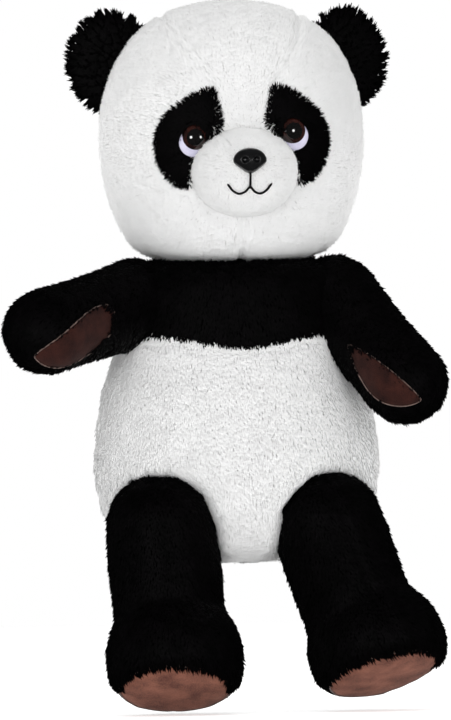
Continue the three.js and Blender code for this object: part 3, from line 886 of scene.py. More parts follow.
    def _soften(self, mesh: Mesh, share: float) -> None:
        """Turns each fibre's normals towards those of the cover under it, as light that scatters in pile does.

        Args:
            mesh: the pile, with its cover's normals in the attribute "ground".
            share: how far they turn, from 0 to 1.
        """
        under = np.empty(len(mesh.vertices) * 3, np.float32)
        mesh.attributes["ground"].data.foreach_get("vector", under)
        mixed = unit(share * under.reshape(-1, 3) + (1 - share) * facings(mesh))
        mesh.normals_split_custom_set_from_vertices(mixed.astype(np.float32))


# ---- stuffed forms


@dataclass
class Form:
    """A stuffed form: a closed cover, the lines that it is sewn along, and how far it may swell.

    The seams give each point's distance from the nearest one, in metres. The swell, the crease that a seam draws
    and the sizes below are in millimetres.
    """

    cover: Object
    seams: Field
    swell: float = 3.0
    crease: float = 1.2
    smoothing: int = 2
    square: float = 4.5
    held_width: float = 2.2
    crease_width: float = 2.0
    pressure: float = 4.0
    stiffness: float = 25.0
    tree: BVHTree | None = None

    def hold_seams(self) -> None:
        """Adds the air pressure of the filling, with the seams held."""
        held = self.cover.vertex_groups.new(name="held")
        near = np.flatnonzero(self.seams(places(self.cover.data)) < self.held_width * MM)
        held.add([int(i) for i in near], 1.0, "REPLACE")
        cloth = self.cover.modifiers.new("Cloth", "CLOTH")
        cloth.settings.vertex_group_mass = "held"
        cloth.settings.use_pressure = True
        cloth.settings.uniform_pressure_force = self.pressure
        cloth.settings.effector_weights.gravity = 0.0
        cloth.settings.tension_stiffness = self.stiffness
        cloth.settings.compression_stiffness = self.stiffness

    def keep_swelling(self, before: Array) -> None:
        """Keeps the cloth's result, with no point further from where it was than the form may swell.

        Args:
            before: where the cover's vertices were, one row each.
        """
        depsgraph = bpy.context.evaluated_depsgraph_get()
        after = places(self.cover.evaluated_get(depsgraph).data)
        self.cover.modifiers.clear()
        step = after - before
        far = np.linalg.norm(step, axis=1, keepdims=True)
        step *= np.minimum(1.0, self.swell * MM / np.maximum(far, 1e-9))
        move_to(self.cover.data, before + np.nan_to_num(step))

    def sew(self) -> None:
        """Smooths the cover and draws its seams in."""
        apply_modifier(self.cover, "SMOOTH", factor=0.5, iterations=self.smoothing)
        apply_modifier(self.cover, "SUBSURF", levels=1, render_levels=1)
        mesh = self.cover.data
        p = places(mesh)
        dip = self.crease * MM * np.exp(-((self.seams(p) / (self.crease_width * MM)) ** 2))
        move_to(mesh, p - facings(mesh) * dip[:, None])
        self.cover.vertex_groups.clear()
        self.tree = tree_of(mesh)

    def outside(self, points: Array) -> Array:
        """How far each point is outside the cover.

        Args:
            points: one row each, in metres.

        Returns:
            Metres outside the cover, less than zero inside.
        """
        out = np.empty(len(points))
        for i, p in enumerate(points):
            found, normal, _, distance = self.tree.find_nearest(Vector(p))
            out[i] = distance if (Vector(p) - found).dot(normal) > 0 else -distance
        return out


def swell_all(forms: Sequence[Form], frames: int = 20) -> None:
    """Fills every form with air at once, which is what pads them out between their seams.

    Args:
        forms: the forms, cut here into even squares and sewn at the end.
        frames: how long the cloth moves.
    """
    for form in forms:
        apply_modifier(form.cover, "REMESH", mode="VOXEL", voxel_size=form.square * MM)
    scene = bpy.context.scene
    before = [places(form.cover.data) for form in forms]
    for form in forms:
        form.hold_seams()
    for number in range(1, frames + 1):
        scene.frame_set(number)
    for form, start in zip(forms, before, strict=True):
        form.keep_swelling(start)
    scene.frame_set(1)
    for form in forms:
        form.sew()
        LOG.info("%s: %d faces", form.cover.name, len(form.cover.data.polygons))


@dataclass
class Pad:
    """A panel laid on a form inside an outline, crowned in the middle, with a back and a closed edge.

    It is drawn flat in millimetres, with its outline in the directions along and across. With a depth, it is
    thrown from its middle inside the form, so that it wraps round it.
    """

    name: str
    centre: Vector
    along: Vector
    across: Vector
    facing: Vector
    outline: Array
    lift: float
    crown: float
    depth: float = 0.0
    thick: float = 1.2
    rings: int = 14

    def build(self, tree: BVHTree) -> Object:
        """Lays the panel on a form.

        Args:
            tree: the form's search tree.

        Returns:
            The panel as a closed mesh.
        """
        count = len(self.outline)
        top, under = [], []
        for ring in range(self.rings + 1):
            t = ring / self.rings
            for u, v in self.outline if ring else self.outline[:1]:
                found, normal = self._drop(tree, u * t, v * t)
                rise = self.lift + self.crown * (1 - t**2.5)
                top.append(found + normal * rise * MM)
                under.append(found + normal * (self.lift - self.thick) * MM)
        faces = self._side(0) + [f[::-1] for f in self._side(len(top))]
        last = 1 + (self.rings - 1) * count
        for j in range(count):
            k = (j + 1) % count
            faces.append([last + j, len(top) + last + j, len(top) + last + k, last + k])
        u, v = self.outline.T
        area = float(np.sum(u * np.roll(v, -1) - v * np.roll(u, -1)))
        if area * self.along.cross(self.across).dot(self.facing) < 0:
            faces = [f[::-1] for f in faces]
        return mesh_object(self.name, rows(top + under), faces)

    def _drop(self, tree: BVHTree, u: float, v: float) -> tuple[Vector, Vector]:
        """Where a point of the flat drawing lands on the form.

        Args:
            tree: the form's search tree.
            u: how far along it is, in millimetres.
            v: how far across it is, in millimetres.

        Returns:
            The point on the form, and the way that the panel rises from it.
        """
        point = self.centre + self.along * (u * MM) + self.across * (v * MM)
        if self.depth:
            way = (point - self.centre + self.facing * self.depth * MM).normalized()
            return tree.ray_cast(self.centre, way)[0], way
        found, normal, _, _ = tree.ray_cast(point + self.facing * 0.08, -self.facing)
        if found is None:
            found, normal, _, _ = tree.find_nearest(point)
        if normal.dot(self.facing) < 0:
            normal = -normal
        return found, normal.lerp(self.facing, 0.5).normalized()

    def _side(self, start: int) -> list[list[int]]:
        """The faces of one side: a fan in the middle and rings round it.

        Args:
            start: the number of the side's first vertex.

        Returns:
            The faces.
        """
        count = len(self.outline)
        faces = []
        for j in range(count):
            k = (j + 1) % count
            faces.append([start, start + 1 + j, start + 1 + k])
            for i in range(self.rings - 1):
                a, b = start + 1 + i * count, start + 1 + (i + 1) * count
                faces.append([a + j, b + j, b + k, a + k])
        return faces

    def edge(self, tree: BVHTree, raise_by: float) -> Array:
        """The panel's outline on the form.

        Args:
            tree: the form's search tree.
            raise_by: how far off the form it is, in millimetres.

        Returns:
            The outline's points, one row each.
        """
        out = []
        for u, v in self.outline:
            found, normal = self._drop(tree, u, v)
            out.append(found + normal * raise_by * MM)
        return rows(out)

    def past_edge(self, points: Array) -> Array:
        """How far each point lies past the panel's edge, seen square on.

        Args:
            points: one row each, in metres.

        Returns:
            Millimetres past the edge, less than zero under the panel.
        """
        rel = (points - rows([self.centre])) / MM
        rise = rel @ np.array(self.facing)
        least = 0.3 * self.depth
        reach = self.depth / np.maximum(rise, least) if self.depth else 1.0
        flat = np.stack([rel @ np.array(self.along), rel @ np.array(self.across)], 1) * np.reshape(reach, (-1, 1))
        gap = np.sqrt(((flat[:, None] - self.outline[None]) ** 2).sum(2)).min(1)
        under = inside_outline(flat, self.outline) & (rise > (least if self.depth else -5.0))
        return np.where(under, -gap, gap)


def leaf(half_length: float, above: float, below: float, count: int = 64) -> Array:
    """A leaf's outline with two soft points, wider on one side than on the other.

    Args:
        half_length: half its length, in millimetres.
        above: how wide it is on the first side.
        below: how wide it is on the second side.
        count: how many points it has.

    Returns:
        The points, one row each.
    """
    a = np.arange(count) * 2 * math.pi / count
    width = np.where(np.sin(a) > 0, above, below)
    return np.stack([half_length * np.cos(a), width * np.sign(np.sin(a)) * np.abs(np.sin(a)) ** 1.35], 1)


def ellipse(half_length: float, half_width: float, count: int = 64) -> Array:
    """An elliptical outline in millimetres."""
    a = np.arange(count) * 2 * math.pi / count
    return np.stack([half_length * np.cos(a), half_width * np.sin(a)], 1)


def add_filling(name: str, shape: Shape, body: str, node: str) -> None:
    """Makes loose fibre filling: the inside of a form, pressed into soft lumps.

    Args:
        name: the piece's name.
        shape: the form's inside, in metres.
        body: the frame's body that it moves with.
        node: the frame's node that it stands for.
    """
    lump_size, lump_height, cross_waves = 17 * MM, 0.7 * MM, 190
    made = mesh_object(name, *shape)
    apply_modifier(made, "REMESH", mode="VOXEL", voxel_size=5 * MM)
    p = places(made.data)
    wave = np.sin(p * 2 * math.pi / lump_size + p[:, [1, 2, 0]] * cross_waves).sum(1) / 3
    move_to(made.data, p + facings(made.data) * (wave * lump_height)[:, None])
    finish_piece(made, POLYFILL, Slot.FILLING, body, [node], 0.8)


# ---- stitches


class Needle:
    """Sews stitches along a line with one node tree."""

    def __init__(self) -> None:
        """Builds the tree: a drawn-out ball of thread on each spot of the line, turned along it and slanted."""
        numbers = [(name, "Float") for name in ("Spacing", "Stitch Length", "Thread Radius", "Slant")]
        inputs = [("Line", "Geometry"), *numbers, ("Material", "Material")]
        self.tree, self.sockets = new_tree("stitch_run", inputs, "Stitches")
        tree = self.tree
        given = add_node(tree, "NodeGroupInput").outputs
        line = {"Curve": given["Line"], "Length": given["Spacing"]}
        spots = add_node(tree, "GeometryNodeCurveToPoints", {"mode": "LENGTH"}, line)
        round_thread = {"Segments": 8, "Rings": 6, "Radius": given["Thread Radius"]}
        thread = add_node(tree, "GeometryNodeMeshUVSphere", inputs=round_thread)
        share = {0: given["Stitch Length"], 1: given["Thread Radius"]}
        ratio = add_node(tree, "ShaderNodeMath", {"operation": "DIVIDE"}, share)
        half = add_node(tree, "ShaderNodeMath", {"operation": "MULTIPLY"}, {0: ratio.outputs[0], 1: 0.5})
        size = add_node(tree, "ShaderNodeCombineXYZ", inputs={"X": 1.0, "Y": 1.0, "Z": half.outputs[0]})
        tangents = {"Vector": spots.outputs["Tangent"]}
        along = add_node(tree, "FunctionNodeAlignRotationToVector", {"axis": "Z"}, tangents)
        about_y = {"Axis": (0.0, 1.0, 0.0), "Angle": given["Slant"]}
        lean = add_node(tree, "FunctionNodeAxisAngleToRotation", inputs=about_y)
        both = {"Rotation": along.outputs[0], "Rotate By": lean.outputs[0]}
        turned = add_node(tree, "FunctionNodeRotateRotation", {"rotation_space": "GLOBAL"}, both)
        smooth = add_node(tree, "GeometryNodeSetShadeSmooth", inputs={"Geometry": thread.outputs["Mesh"]})
        points = spots.outputs["Points"]
        plant(tree, points, smooth.outputs[0], turned.outputs[0], size.outputs[0], given["Material"])

    def sew(
        self,
        name: str,
        line: Sequence[Array],
        finish: Finish,
        spacing: float,
        length: float,
        radius: float,
        slant: float = 0.0,
    ) -> Object:
        """Sews along lines.

        Args:
            name: the new piece's name.
            line: the points of each stretch, in metres.
            finish: the thread.
            spacing: from stitch to stitch, in millimetres.
            length: a stitch's length, in millimetres.
            radius: the thread's radius, in millimetres.
            slant: how far each stitch turns about Y, in radians.

        Returns:
            The stitches as a plain mesh.
        """
        curve = bpy.data.curves.new(name, "CURVE")
        curve.dimensions = "3D"
        for stretch in line:
            spline = curve.splines.new("POLY")
            spline.points.add(len(stretch) - 1)
            for point, place in zip(spline.points, stretch, strict=True):
                point.co = (*place, 1.0)
        carrier = linked(name, curve)
        sizes = {"Spacing": spacing * MM, "Stitch Length": length * MM, "Thread Radius": radius * MM, "Slant": slant}
        give(carrier, self.tree, self.sockets, sizes | {"Material": finish.build()})
        mesh = bpy.data.meshes.new_from_object(carrier.evaluated_get(bpy.context.evaluated_depsgraph_get()))
        bpy.data.objects.remove(carrier)
        bpy.data.curves.remove(curve)
        mesh.name = name
        return linked(name, mesh)


@dataclass
class Workshop:
    """What every sub-assembly needs while the toy is made."""

    growth: Growth
    needle: Needle
    forms: dict[str, Form] = field(default_factory=dict)

    def clear_of(self, points: Array, names: Sequence[str], margin: float) -> Array:
        """Where a cover is clear of other forms.

        Args:
            points: one row each, in metres.
            names: the other forms.
            margin: how far outside them counts as clear, in millimetres.

        Returns:
            1 for each point that is clear of them all, else 0.
        """
        keep = np.ones(len(points))
        for name in names:
            keep *= self.forms[name].outside(points) > margin * MM
        return keep


class SubAssembly:
    """A part of the toy that is sewn or moulded on its own."""

    def build(self, shop: Workshop) -> None:
        """Makes the covers that are to swell; a part with none of its own makes nothing."""

    def dress(self, shop: Workshop) -> None:
        """Finishes, fills and decorates the part."""
        raise NotImplementedError


# ---- head


@dataclass
class Head(SubAssembly):
    """The head: a white cover sewn from gusset, face and back panels, with a muzzle and its filling.

    The profile is in shares of the half sizes, from the chin to the crown. The gusset's seams run at a half width
    for each height.
    """

    half: tuple[float, float, float] = (77.0, 66.0, 76.8)
    centre_z: float = 350.2
    seam_y: float = 10.0
    forehead_z: float = 352.0
    chin_z: float = 300.0
    muzzle_half: tuple[float, float, float] = (32.0, 33.0, 27.0)
    muzzle_centre: tuple[float, float, float] = (0.0, -58.0, 325.5)
    filling_gap: float = 5.0
    profile: tuple[tuple[float, float], ...] = (
        *((0, -1), (0.3, -0.99), (0.58, -0.94), (0.78, -0.84), (0.885, -0.66), (0.965, -0.4), (1, -0.08)),
        *((0.97, 0.28), (0.86, 0.56), (0.72, 0.75), (0.5, 0.9), (0.26, 0.975), (0, 1)),
    )
    gusset: tuple[tuple[float, float], ...] = ((340, 11), (362, 15), (376, 18), (402, 35), (440, 46))

    def shape(self, inset: float) -> Shape:
        """The head's round, drawn in by some millimetres."""
        v, f = revolve(turned_profile(self.profile), 56)
        return placed(v * (np.array(self.half) - inset) + (0, 0, self.centre_z)), f

    def muzzle_shape(self, inset: float) -> Shape:
        """The muzzle's round, drawn in by some millimetres."""
        v, f = ball(np.array(self.muzzle_half) - inset, self.muzzle_centre, 40, 20)
        return placed(v), f

    def seams(self, points: Array) -> Array:
        """The distance from the seam over the ears, the back and chin seams and the gusset's two.

        Args:
            points: one row each, in metres.

        Returns:
            Metres to the nearest seam.
        """
        x, y, z = pattern(points).T
        heights, widths = np.array(self.gusset).T
        over = np.abs(y - self.seam_y)
        middle = np.where((y > self.seam_y) | (z < self.chin_z), np.abs(x), FAR)
        beside = np.abs(np.abs(x) - np.interp(z, heights, widths))
        gusset = np.where((y < self.seam_y) & (z > self.forehead_z), beside, FAR)
        return nearest(over, middle, gusset) * MM

    def build(self, shop: Workshop) -> None:
        """Makes the head's and muzzle's covers, ready to swell."""
        shop.forms["head"] = Form(mesh_object("head_cover", *self.shape(-0.6)), self.seams, swell=2.0)
        muzzle = mesh_object("muzzle_plush", *self.muzzle_shape(1.2))
        shop.forms["muzzle"] = Form(muzzle, never, swell=1.0, crease=0)

    def dress(self, shop: Workshop) -> None:
        """Finishes the covers, grows their pile and fills the head.

        Args:
            shop: the workshop.
        """
        panels = ["forehead_gusset"] + [f"{n}_{s.word}" for n in ("face_panel", "head_back") for s in Side]
        white = (WHITE_BACKING, Slot.WHITE_PLUSH, "head")
        finish_piece(shop.forms["head"].cover, *white, panels, 0.95)
        finish_piece(shop.forms["muzzle"].cover, *white, ["muzzle_cover"], 0.95)
        face = Face(self)
        self._head_pile(shop, face)
        self._muzzle_pile(shop, face)
        inside = joined([self.shape(self.filling_gap), self.muzzle_shape(self.filling_gap)])
        add_filling("head_filling", inside, "head", "head_stuffing")

    def _head_pile(self, shop: Workshop, face: "Face") -> None:
        """Grows the white pile of the face and the back of the head, none of it under the eye patches.

        Args:
            shop: the workshop.
            face: the face, which the pile lies away from.
        """
        cover = shop.forms["head"].cover
        p, n = places(cover.data), facings(cover.data)
        local = pattern(p)
        x, y, z = local.T
        bare = shop.clear_of(p, ["muzzle", "ear_left", "ear_right", "neck"], -1.0)
        for side in Side:
            patch = inside_outline(local[:, [0, 2]], face.patch_outline(side, -0.2))
            bare *= ~(patch & (y < 0))
        comb = tangent(p - row(0, -70, 335) + np.array([0, 0.012, -0.006]), n)
        height = 0.62 + 0.38 * ramp(np.linalg.norm(local - [0, -70, 340], axis=1), 30, 75)
        by_seam = 0.7 + 0.3 * ramp(self.seams(p), 0.3 * MM, 3.0 * MM)
        chin_fringe = 1.45 - 0.45 * ramp(z, 277, 294)
        height *= by_seam * chin_fringe
        back = ramp(y, self.seam_y - 0.5, self.seam_y + 0.5)
        left = ramp(x, -0.4, 0.4)
        short = white_pile(5.4, 0.5, 2.1, **COMBED)
        long = white_pile(6.0, 0.66, 1.15, **COMBED)
        for seed, (name, pile, mask) in enumerate(
            (
                ("face_pile_left", short, (1 - back) * left),
                ("face_pile_right", short, (1 - back) * (1 - left)),
                ("head_back_pile_left", long, back * left),
                ("head_back_pile_right", long, back * (1 - left)),
            ),
            11,
        ):
            shop.growth.grow(name, cover, pile, "head", seed, mask * bare, comb, height)

    def _muzzle_pile(self, shop: Workshop, face: "Face") -> None:
        """Grows the muzzle's short pile, clear of the nose and lower along the mouth.

        Args:
            shop: the workshop.
            face: the face, for its nose and mouth.
        """
        cover = shop.forms["muzzle"].cover
        p, n = places(cover.data), facings(cover.data)
        local = pattern(p)
        bare = shop.clear_of(p, ["head"], -1.5)
        nose = inside_outline(local[:, [0, 2]], face.nose_outline(-0.6)) & (local[:, 1] < -60)
        comb = tangent(p - row(0, -95, 334) + np.array([0, 0.004, -0.003]), n)
        pile = white_pile(3.8, 0.42, 2.8, clump=0.15, clump_size=5.0, wander=0.3, fray=0.2)
        rim = ramp(np.hypot(local[:, 0], local[:, 2] - 331), 12, 26)
        height = (0.5 + 0.5 * ramp(face.distance_from_mouth(p), 0.8 * MM, 4 * MM)) * (0.62 + 0.38 * rim)
        shop.growth.grow("muzzle_pile", cover, pile, "head", 17, bare * ~nose, comb, height)


@dataclass
class Face(SubAssembly):
    """Eyes, eye patches, nose and mouth, in millimetres seen from the front."""

    head: Head
    eye_x: float = 29.8
    eye_z: float = 344.6
    askew: float = 1.5
    outward: float = 0.4
    white_radius: float = 8.7
    iris_radius: float = 7.9
    iris_shift: tuple[float, float] = (1.3, 2.9)
    pupil_radius: float = 5.1
    dome: float = 4.6
    nose_z: float = 331.4
    nose_y: float = -89.5
    nose_half: tuple[float, float, float] = (10.0, 6.0, 7.6)
    nostril: tuple[float, float] = (3.4, 0.5)
    thread_radius: float = 0.72
    patch: tuple[tuple[float, float], ...] = (
        *((18.5, 374), (28, 371.3), (37, 366), (45, 359), (49.2, 351), (50.5, 343), (49.5, 335), (46, 327)),
        *((40, 320.5), (34, 318.5), (32, 325), (29, 334), (23, 344), (16, 350), (13.6, 355), (15.2, 362)),
        (16.4, 369),
    )
    smile: tuple[tuple[float, float], ...] = (
        *((-12.3, 316.4), (-10, 313.6), (-6.4, 311.8), (-2.8, 313), (0, 315.6)),
        *((2.8, 313), (6.4, 311.8), (10, 313.6), (12.3, 316.4)),
    )
    drop: tuple[float, ...] = (316.3, 319.0, 322.0, 324.5)

    def patch_outline(self, side: Side, grow: float = 0.0) -> Array:
        """The outline of an eye patch.

        Args:
            side: which eye it is round.
            grow: how far it is moved out.

        Returns:
            The outline's points, one row each.
        """
        rise = side.value * self.askew / 2
        loop = smooth_curve([(side.value * x, z + rise) for x, z in self.patch], 5, closed=True)
        return loop + unit(loop - loop.mean(0)) * grow

    def nose_taper(self, z: Array) -> Array:
        """How wide the nose is for each height from -1 to 1: narrower towards the mouth."""
        return 1 - 0.42 * ramp(-z, 0.0, 1.0)

    def nose_outline(self, grow: float) -> Array:
        """The nose's outline, moved out by some millimetres."""
        a = np.linspace(0, 2 * math.pi, 48, endpoint=False)
        x, z = np.cos(a) * self.nose_taper(np.sin(a)), np.sin(a)
        return np.stack([x * (self.nose_half[0] + grow), z * (self.nose_half[2] + grow) + self.nose_z], 1)

    def mouth_lines(self, tree: BVHTree | None = None) -> list[Array]:
        """The smile and the drop from the nose, laid on the muzzle.

        Args:
            tree: the sewn muzzle's search tree, or None for the muzzle as it was drawn.

        Returns:
            The points of the two lines, in metres.
        """
        (width, depth, height), (_, middle_y, middle_z) = self.head.muzzle_half, self.head.muzzle_centre
        out = []
        for line in (smooth_curve(self.smile, 6), np.array([(0.0, z) for z in self.drop])):
            points = []
            for x, z in line:
                share = 1 - (x / width) ** 2 - ((z - middle_z) / height) ** 2
                spot = at(x, middle_y - depth * math.sqrt(share), z)
                if tree:
                    found = tree.ray_cast(spot + Vector((0, -0.03, 0)), Vector((0, 1, 0)))[0]
                    spot = found + Vector((0, -1.9 * MM, 0)) if found else spot
                points.append(spot)
            out.append(rows(points))
        return out

    def distance_from_mouth(self, points: Array) -> Array:
        """Each point's distance from the mouth's line, in metres."""
        line = np.concatenate(self.mouth_lines())
        return np.sqrt(((points[:, None] - line[None]) ** 2).sum(2)).min(1)

    def eye_frame(self, side: Side) -> tuple[Vector, Vector]:
        """Where an eye sits on the head.

        Args:
            side: which eye.

        Returns:
            The middle of its back, and the way that it looks.
        """
        width, depth, height = self.head.half
        z = self.eye_z + side.value * self.askew
        level = 1 - ((z - self.head.centre_z) / height) ** 2
        y = -depth * math.sqrt(level - (self.eye_x / width) ** 2)
        normal = Vector((self.eye_x / width**2, y / depth**2, 0)).normalized()
        spot = Vector((self.eye_x, y, 0)) + normal * 1.4
        look = Vector((side.value * normal.x * self.outward, normal.y, 0.0)).normalized()
        return at(side.value * spot.x, spot.y, z), look

    def dress(self, shop: Workshop) -> None:
        """Makes the patches, eyes, nose and mouth, and dyes the washers behind them.

        Args:
            shop: the workshop.
        """
        for side in Side:
            self._patch(shop, side)
            self._eye(side)
        self._nose()
        lines = self.mouth_lines(shop.forms["muzzle"].tree)
        mouth = shop.needle.sew("mouth_embroidery", lines, BLACK_THREAD, 1.7, 3.6, self.thread_radius)
        finish_piece(mouth, BLACK_THREAD, Slot.BLACK_THREAD, "head", ["mouth_stitch"])
        for name in ("eye_washer_left", "eye_washer_right", "nose_washer"):
            materials = frame["nodes"][name].data.materials
            materials.clear()
            materials.append(WASHER.build())

    def _patch(self, shop: Workshop, side: Side) -> None:
        """A black plush patch round the eye, its pile hanging a little over the eye's upper rim.

        Args:
            shop: the workshop.
            side: which eye.
        """
        outline = self.patch_outline(side)
        middle = outline.mean(0)
        x_axis, z_axis, forward = Vector((1, 0, 0)), Vector((0, 0, 1)), Vector((0, -1, 0))
        name, centre = f"eye_patch_plush_{side.word}", at(middle[0], -40, middle[1])
        pad = Pad(name, centre, x_axis, z_axis, forward, outline - middle, lift=0.5, crown=0.3)
        cover = pad.build(shop.forms["head"].tree)
        finish_piece(cover, BLACK_BACKING, Slot.BLACK_PLUSH, "head", [f"eye_patch_{side.word}"], 0.9)
        p, n = places(cover.data), facings(cover.data)
        from_eye = p - rows([self.eye_frame(side)[0]])
        away = np.linalg.norm(from_eye, axis=1) / MM
        above = ramp(from_eye[:, 2], 0, 5 * MM)
        outer = np.arange(len(p)) < len(p) // 2
        mask = outer * ramp(away, 7.5, 9.0)
        flow = unit(p - row(side.value * 22, -75, 352)) + np.array([0, 0.2, -0.2])
        flow[:, 2] -= 2.0 * above * (1 - ramp(away, 9, 15))
        height = 0.6 + 0.4 * ramp(away, 9, 17) + 0.7 * above * (1 - ramp(away, 11, 15))
        pile = black_pile(4.4, 0.42, 3.2, lean=0.7, clump=0.2, clump_size=3.0, wander=0.3, fray=0.3)
        name, seed = f"eye_patch_pile_{side.word}", 21 + side.value
        shop.growth.grow(name, cover, pile, "head", seed, mask, tangent(flow, n), height)

    def _moulding(self, name: str, profile: list[tuple[float, float]], spot: Vector, look: Vector) -> Object:
        """A round moulding.

        Args:
            name: the piece's name.
            profile: its radius and height over its own base, from the back's pole to the front's.
            spot: the middle of its base.
            look: the way it faces.

        Returns:
            The piece.
        """
        v, f = revolve(np.array([*profile[:-1], (0, profile[-1][1])], float), 48)
        turn = Vector((0, 0, 1)).rotation_difference(look).to_matrix()
        return mesh_object(name, v @ np.array(turn).T * MM + rows([spot]), f)

    def _eye(self, side: Side) -> None:
        """A white base on a shank, with a brown dome and a black pupil set up and inward on it.

        Args:
            side: which eye.
        """
        spot, look = self.eye_frame(side)
        r, q = self.white_radius, self.iris_radius
        arc = np.linspace(0, math.pi / 2, 12)
        base = [(0, -12), (2.0, -12), (2.2, -11.6), (2.2, -0.8), (r - 0.6, -0.8), (r, -0.2)]
        base += [(r * math.cos(a), 0.1 + 2.7 * math.sin(a)) for a in arc]
        iris = [(0, -0.4), (q - 0.5, -0.4), (q, 0.0)]
        iris += [(q * math.cos(a), 0.1 + self.dome * math.sin(a)) for a in arc]
        start = math.acos(self.pupil_radius / q)
        cap = [(q * math.cos(a), 0.22 + self.dome * math.sin(a)) for a in np.linspace(start, math.pi / 2, 14)]
        foot = cap[0][1] - 0.7
        pupil = [(0, foot), (self.pupil_radius * 0.9, foot), *cap]
        inward = Vector((-side.value * self.iris_shift[0], 0, self.iris_shift[1])) * MM
        centre = spot + inward + look * 0.9 * MM
        for name, node, profile, middle, finish, slot in (
            ("eye_base", "eye_white", base, spot, EYE_WHITE, Slot.EYE_WHITE),
            ("eye_dome", "eye_iris", iris, centre, EYE_BROWN, Slot.EYE_BROWN),
            ("eye_pupil_cap", "eye_pupil", pupil, centre, EYE_BLACK, Slot.BLACK_PLASTIC),
        ):
            made = self._moulding(f"{name}_{side.word}", profile, middle, look)
            finish_piece(made, finish, slot, "head", [f"{node}_{side.word}"])

    def _nose(self) -> None:
        """A rounded triangle with two nostrils, each dimple with a rim, on a shank."""
        v, f = ball((1, 1, 1), (0, 0, 0), 72, 44)
        v = v[:, [0, 2, 1]] * np.array([1, -1, 1])  # poles front and back, so that the nostrils lie on even rings
        x, y, z = v.T
        width, depth, height = self.nose_half
        sx, sz = x * self.nose_taper(z) * width, z * height
        sy = y * depth
        for side in Side:
            away = np.hypot(sx - side.value * self.nostril[0], sz - self.nostril[1])
            dimple = 1.8 * np.exp(-((away / 1.6) ** 4))
            rim = 0.55 * np.exp(-(((away - 2.4) / 0.45) ** 2))
            sy = sy + np.where(y < 0, dimple - rim, 0)
        sy = np.where(y > 0, np.minimum(sy, 0.8), sy)
        spot = row(0, self.nose_y, self.nose_z)
        shank, shank_faces = revolve(np.array([(0, 0), (2.3, 0), (2.5, 0.4), (2.5, 13), (0, 14)], float), 20)
        shank = shank[:, [0, 2, 1]] * np.array([-1, 1, 1]) * MM + spot
        shape = joined([(np.stack([sx, sy, sz], 1) * MM + spot, f), (shank, shank_faces)])
        finish_piece(mesh_object("nose_moulding", *shape), NOSE_BLACK, Slot.BLACK_PLASTIC, "head", ["nose"])


@dataclass
class Ear(SubAssembly):
    """A round black ear, sewn into the head's side seam, with tufted pile."""

    side: Side
    x: float = 70.5
    y: float = 10.0
    z: float = 393.0
    half: tuple[float, float, float] = (26.5, 8.5, 31.0)
    splay: float = 12.0
    hollow_size: float = 14.0
    filling_gap: float = 4.0

    def shape(self, inset: float) -> Shape:
        """The ear's round, hollowed a little in front.

        Args:
            inset: how far it is drawn in, in millimetres.

        Returns:
            Its vertices and faces.
        """
        v, f = ball(np.array(self.half) - inset, (0, 0, 0), 40, 24)
        hollow = np.exp(-((v[:, 0] / self.hollow_size) ** 2) - (v[:, 2] / self.hollow_size) ** 2)
        v[:, 1] += np.where(v[:, 1] < 0, 3.5 * hollow, 1.5 * hollow)
        turn = np.array(Matrix.Rotation(self.side.value * math.radians(self.splay), 3, "Z"))
        return placed(v @ turn.T + (self.side.value * self.x, self.y, self.z)), f

    def seams(self, points: Array) -> Array:
        """The distance from the seam round the ear's rim.

        Args:
            points: one row each, in metres.

        Returns:
            Metres to the seam.
        """
        turn = math.radians(self.splay) * self.side.value
        normal = np.array([-math.sin(turn), math.cos(turn), 0])
        return np.abs((points - row(self.side.value * self.x, self.y, self.z)) @ normal)

    def build(self, shop: Workshop) -> None:
        """Makes the ear's cover, ready to swell."""
        cover = mesh_object(f"ear_cover_{self.side.word}", *self.shape(1.0))
        shop.forms[f"ear_{self.side.word}"] = Form(cover, self.seams, swell=1.0, crease=0.6)

    def dress(self, shop: Workshop) -> None:
        """Finishes and fills the ear and grows its tufts.

        Args:
            shop: the workshop.
        """
        word = self.side.word
        cover = shop.forms[f"ear_{word}"].cover
        panels = [f"ear_front_{word}", f"ear_back_{word}"]
        finish_piece(cover, BLACK_BACKING, Slot.BLACK_PLUSH, "head", panels, 0.7)
        add_filling(f"ear_filling_{word}", self.shape(self.filling_gap), "head", f"ear_wadding_{word}")
        p, n = places(cover.data), facings(cover.data)
        mask = shop.clear_of(p, ["head"], -1.0)
        comb = tangent(p - row(self.side.value * 55, 8, 375), n)
        pile = black_pile(6.5, 0.55, 1.9, lean=0.4, clump=0.8, clump_size=4.5, wander=0.6, fray=0.3)
        shop.growth.grow(f"ear_pile_{word}", cover, pile, "head", 31 + self.side.value, mask, comb, 1.0)


# ---- torso


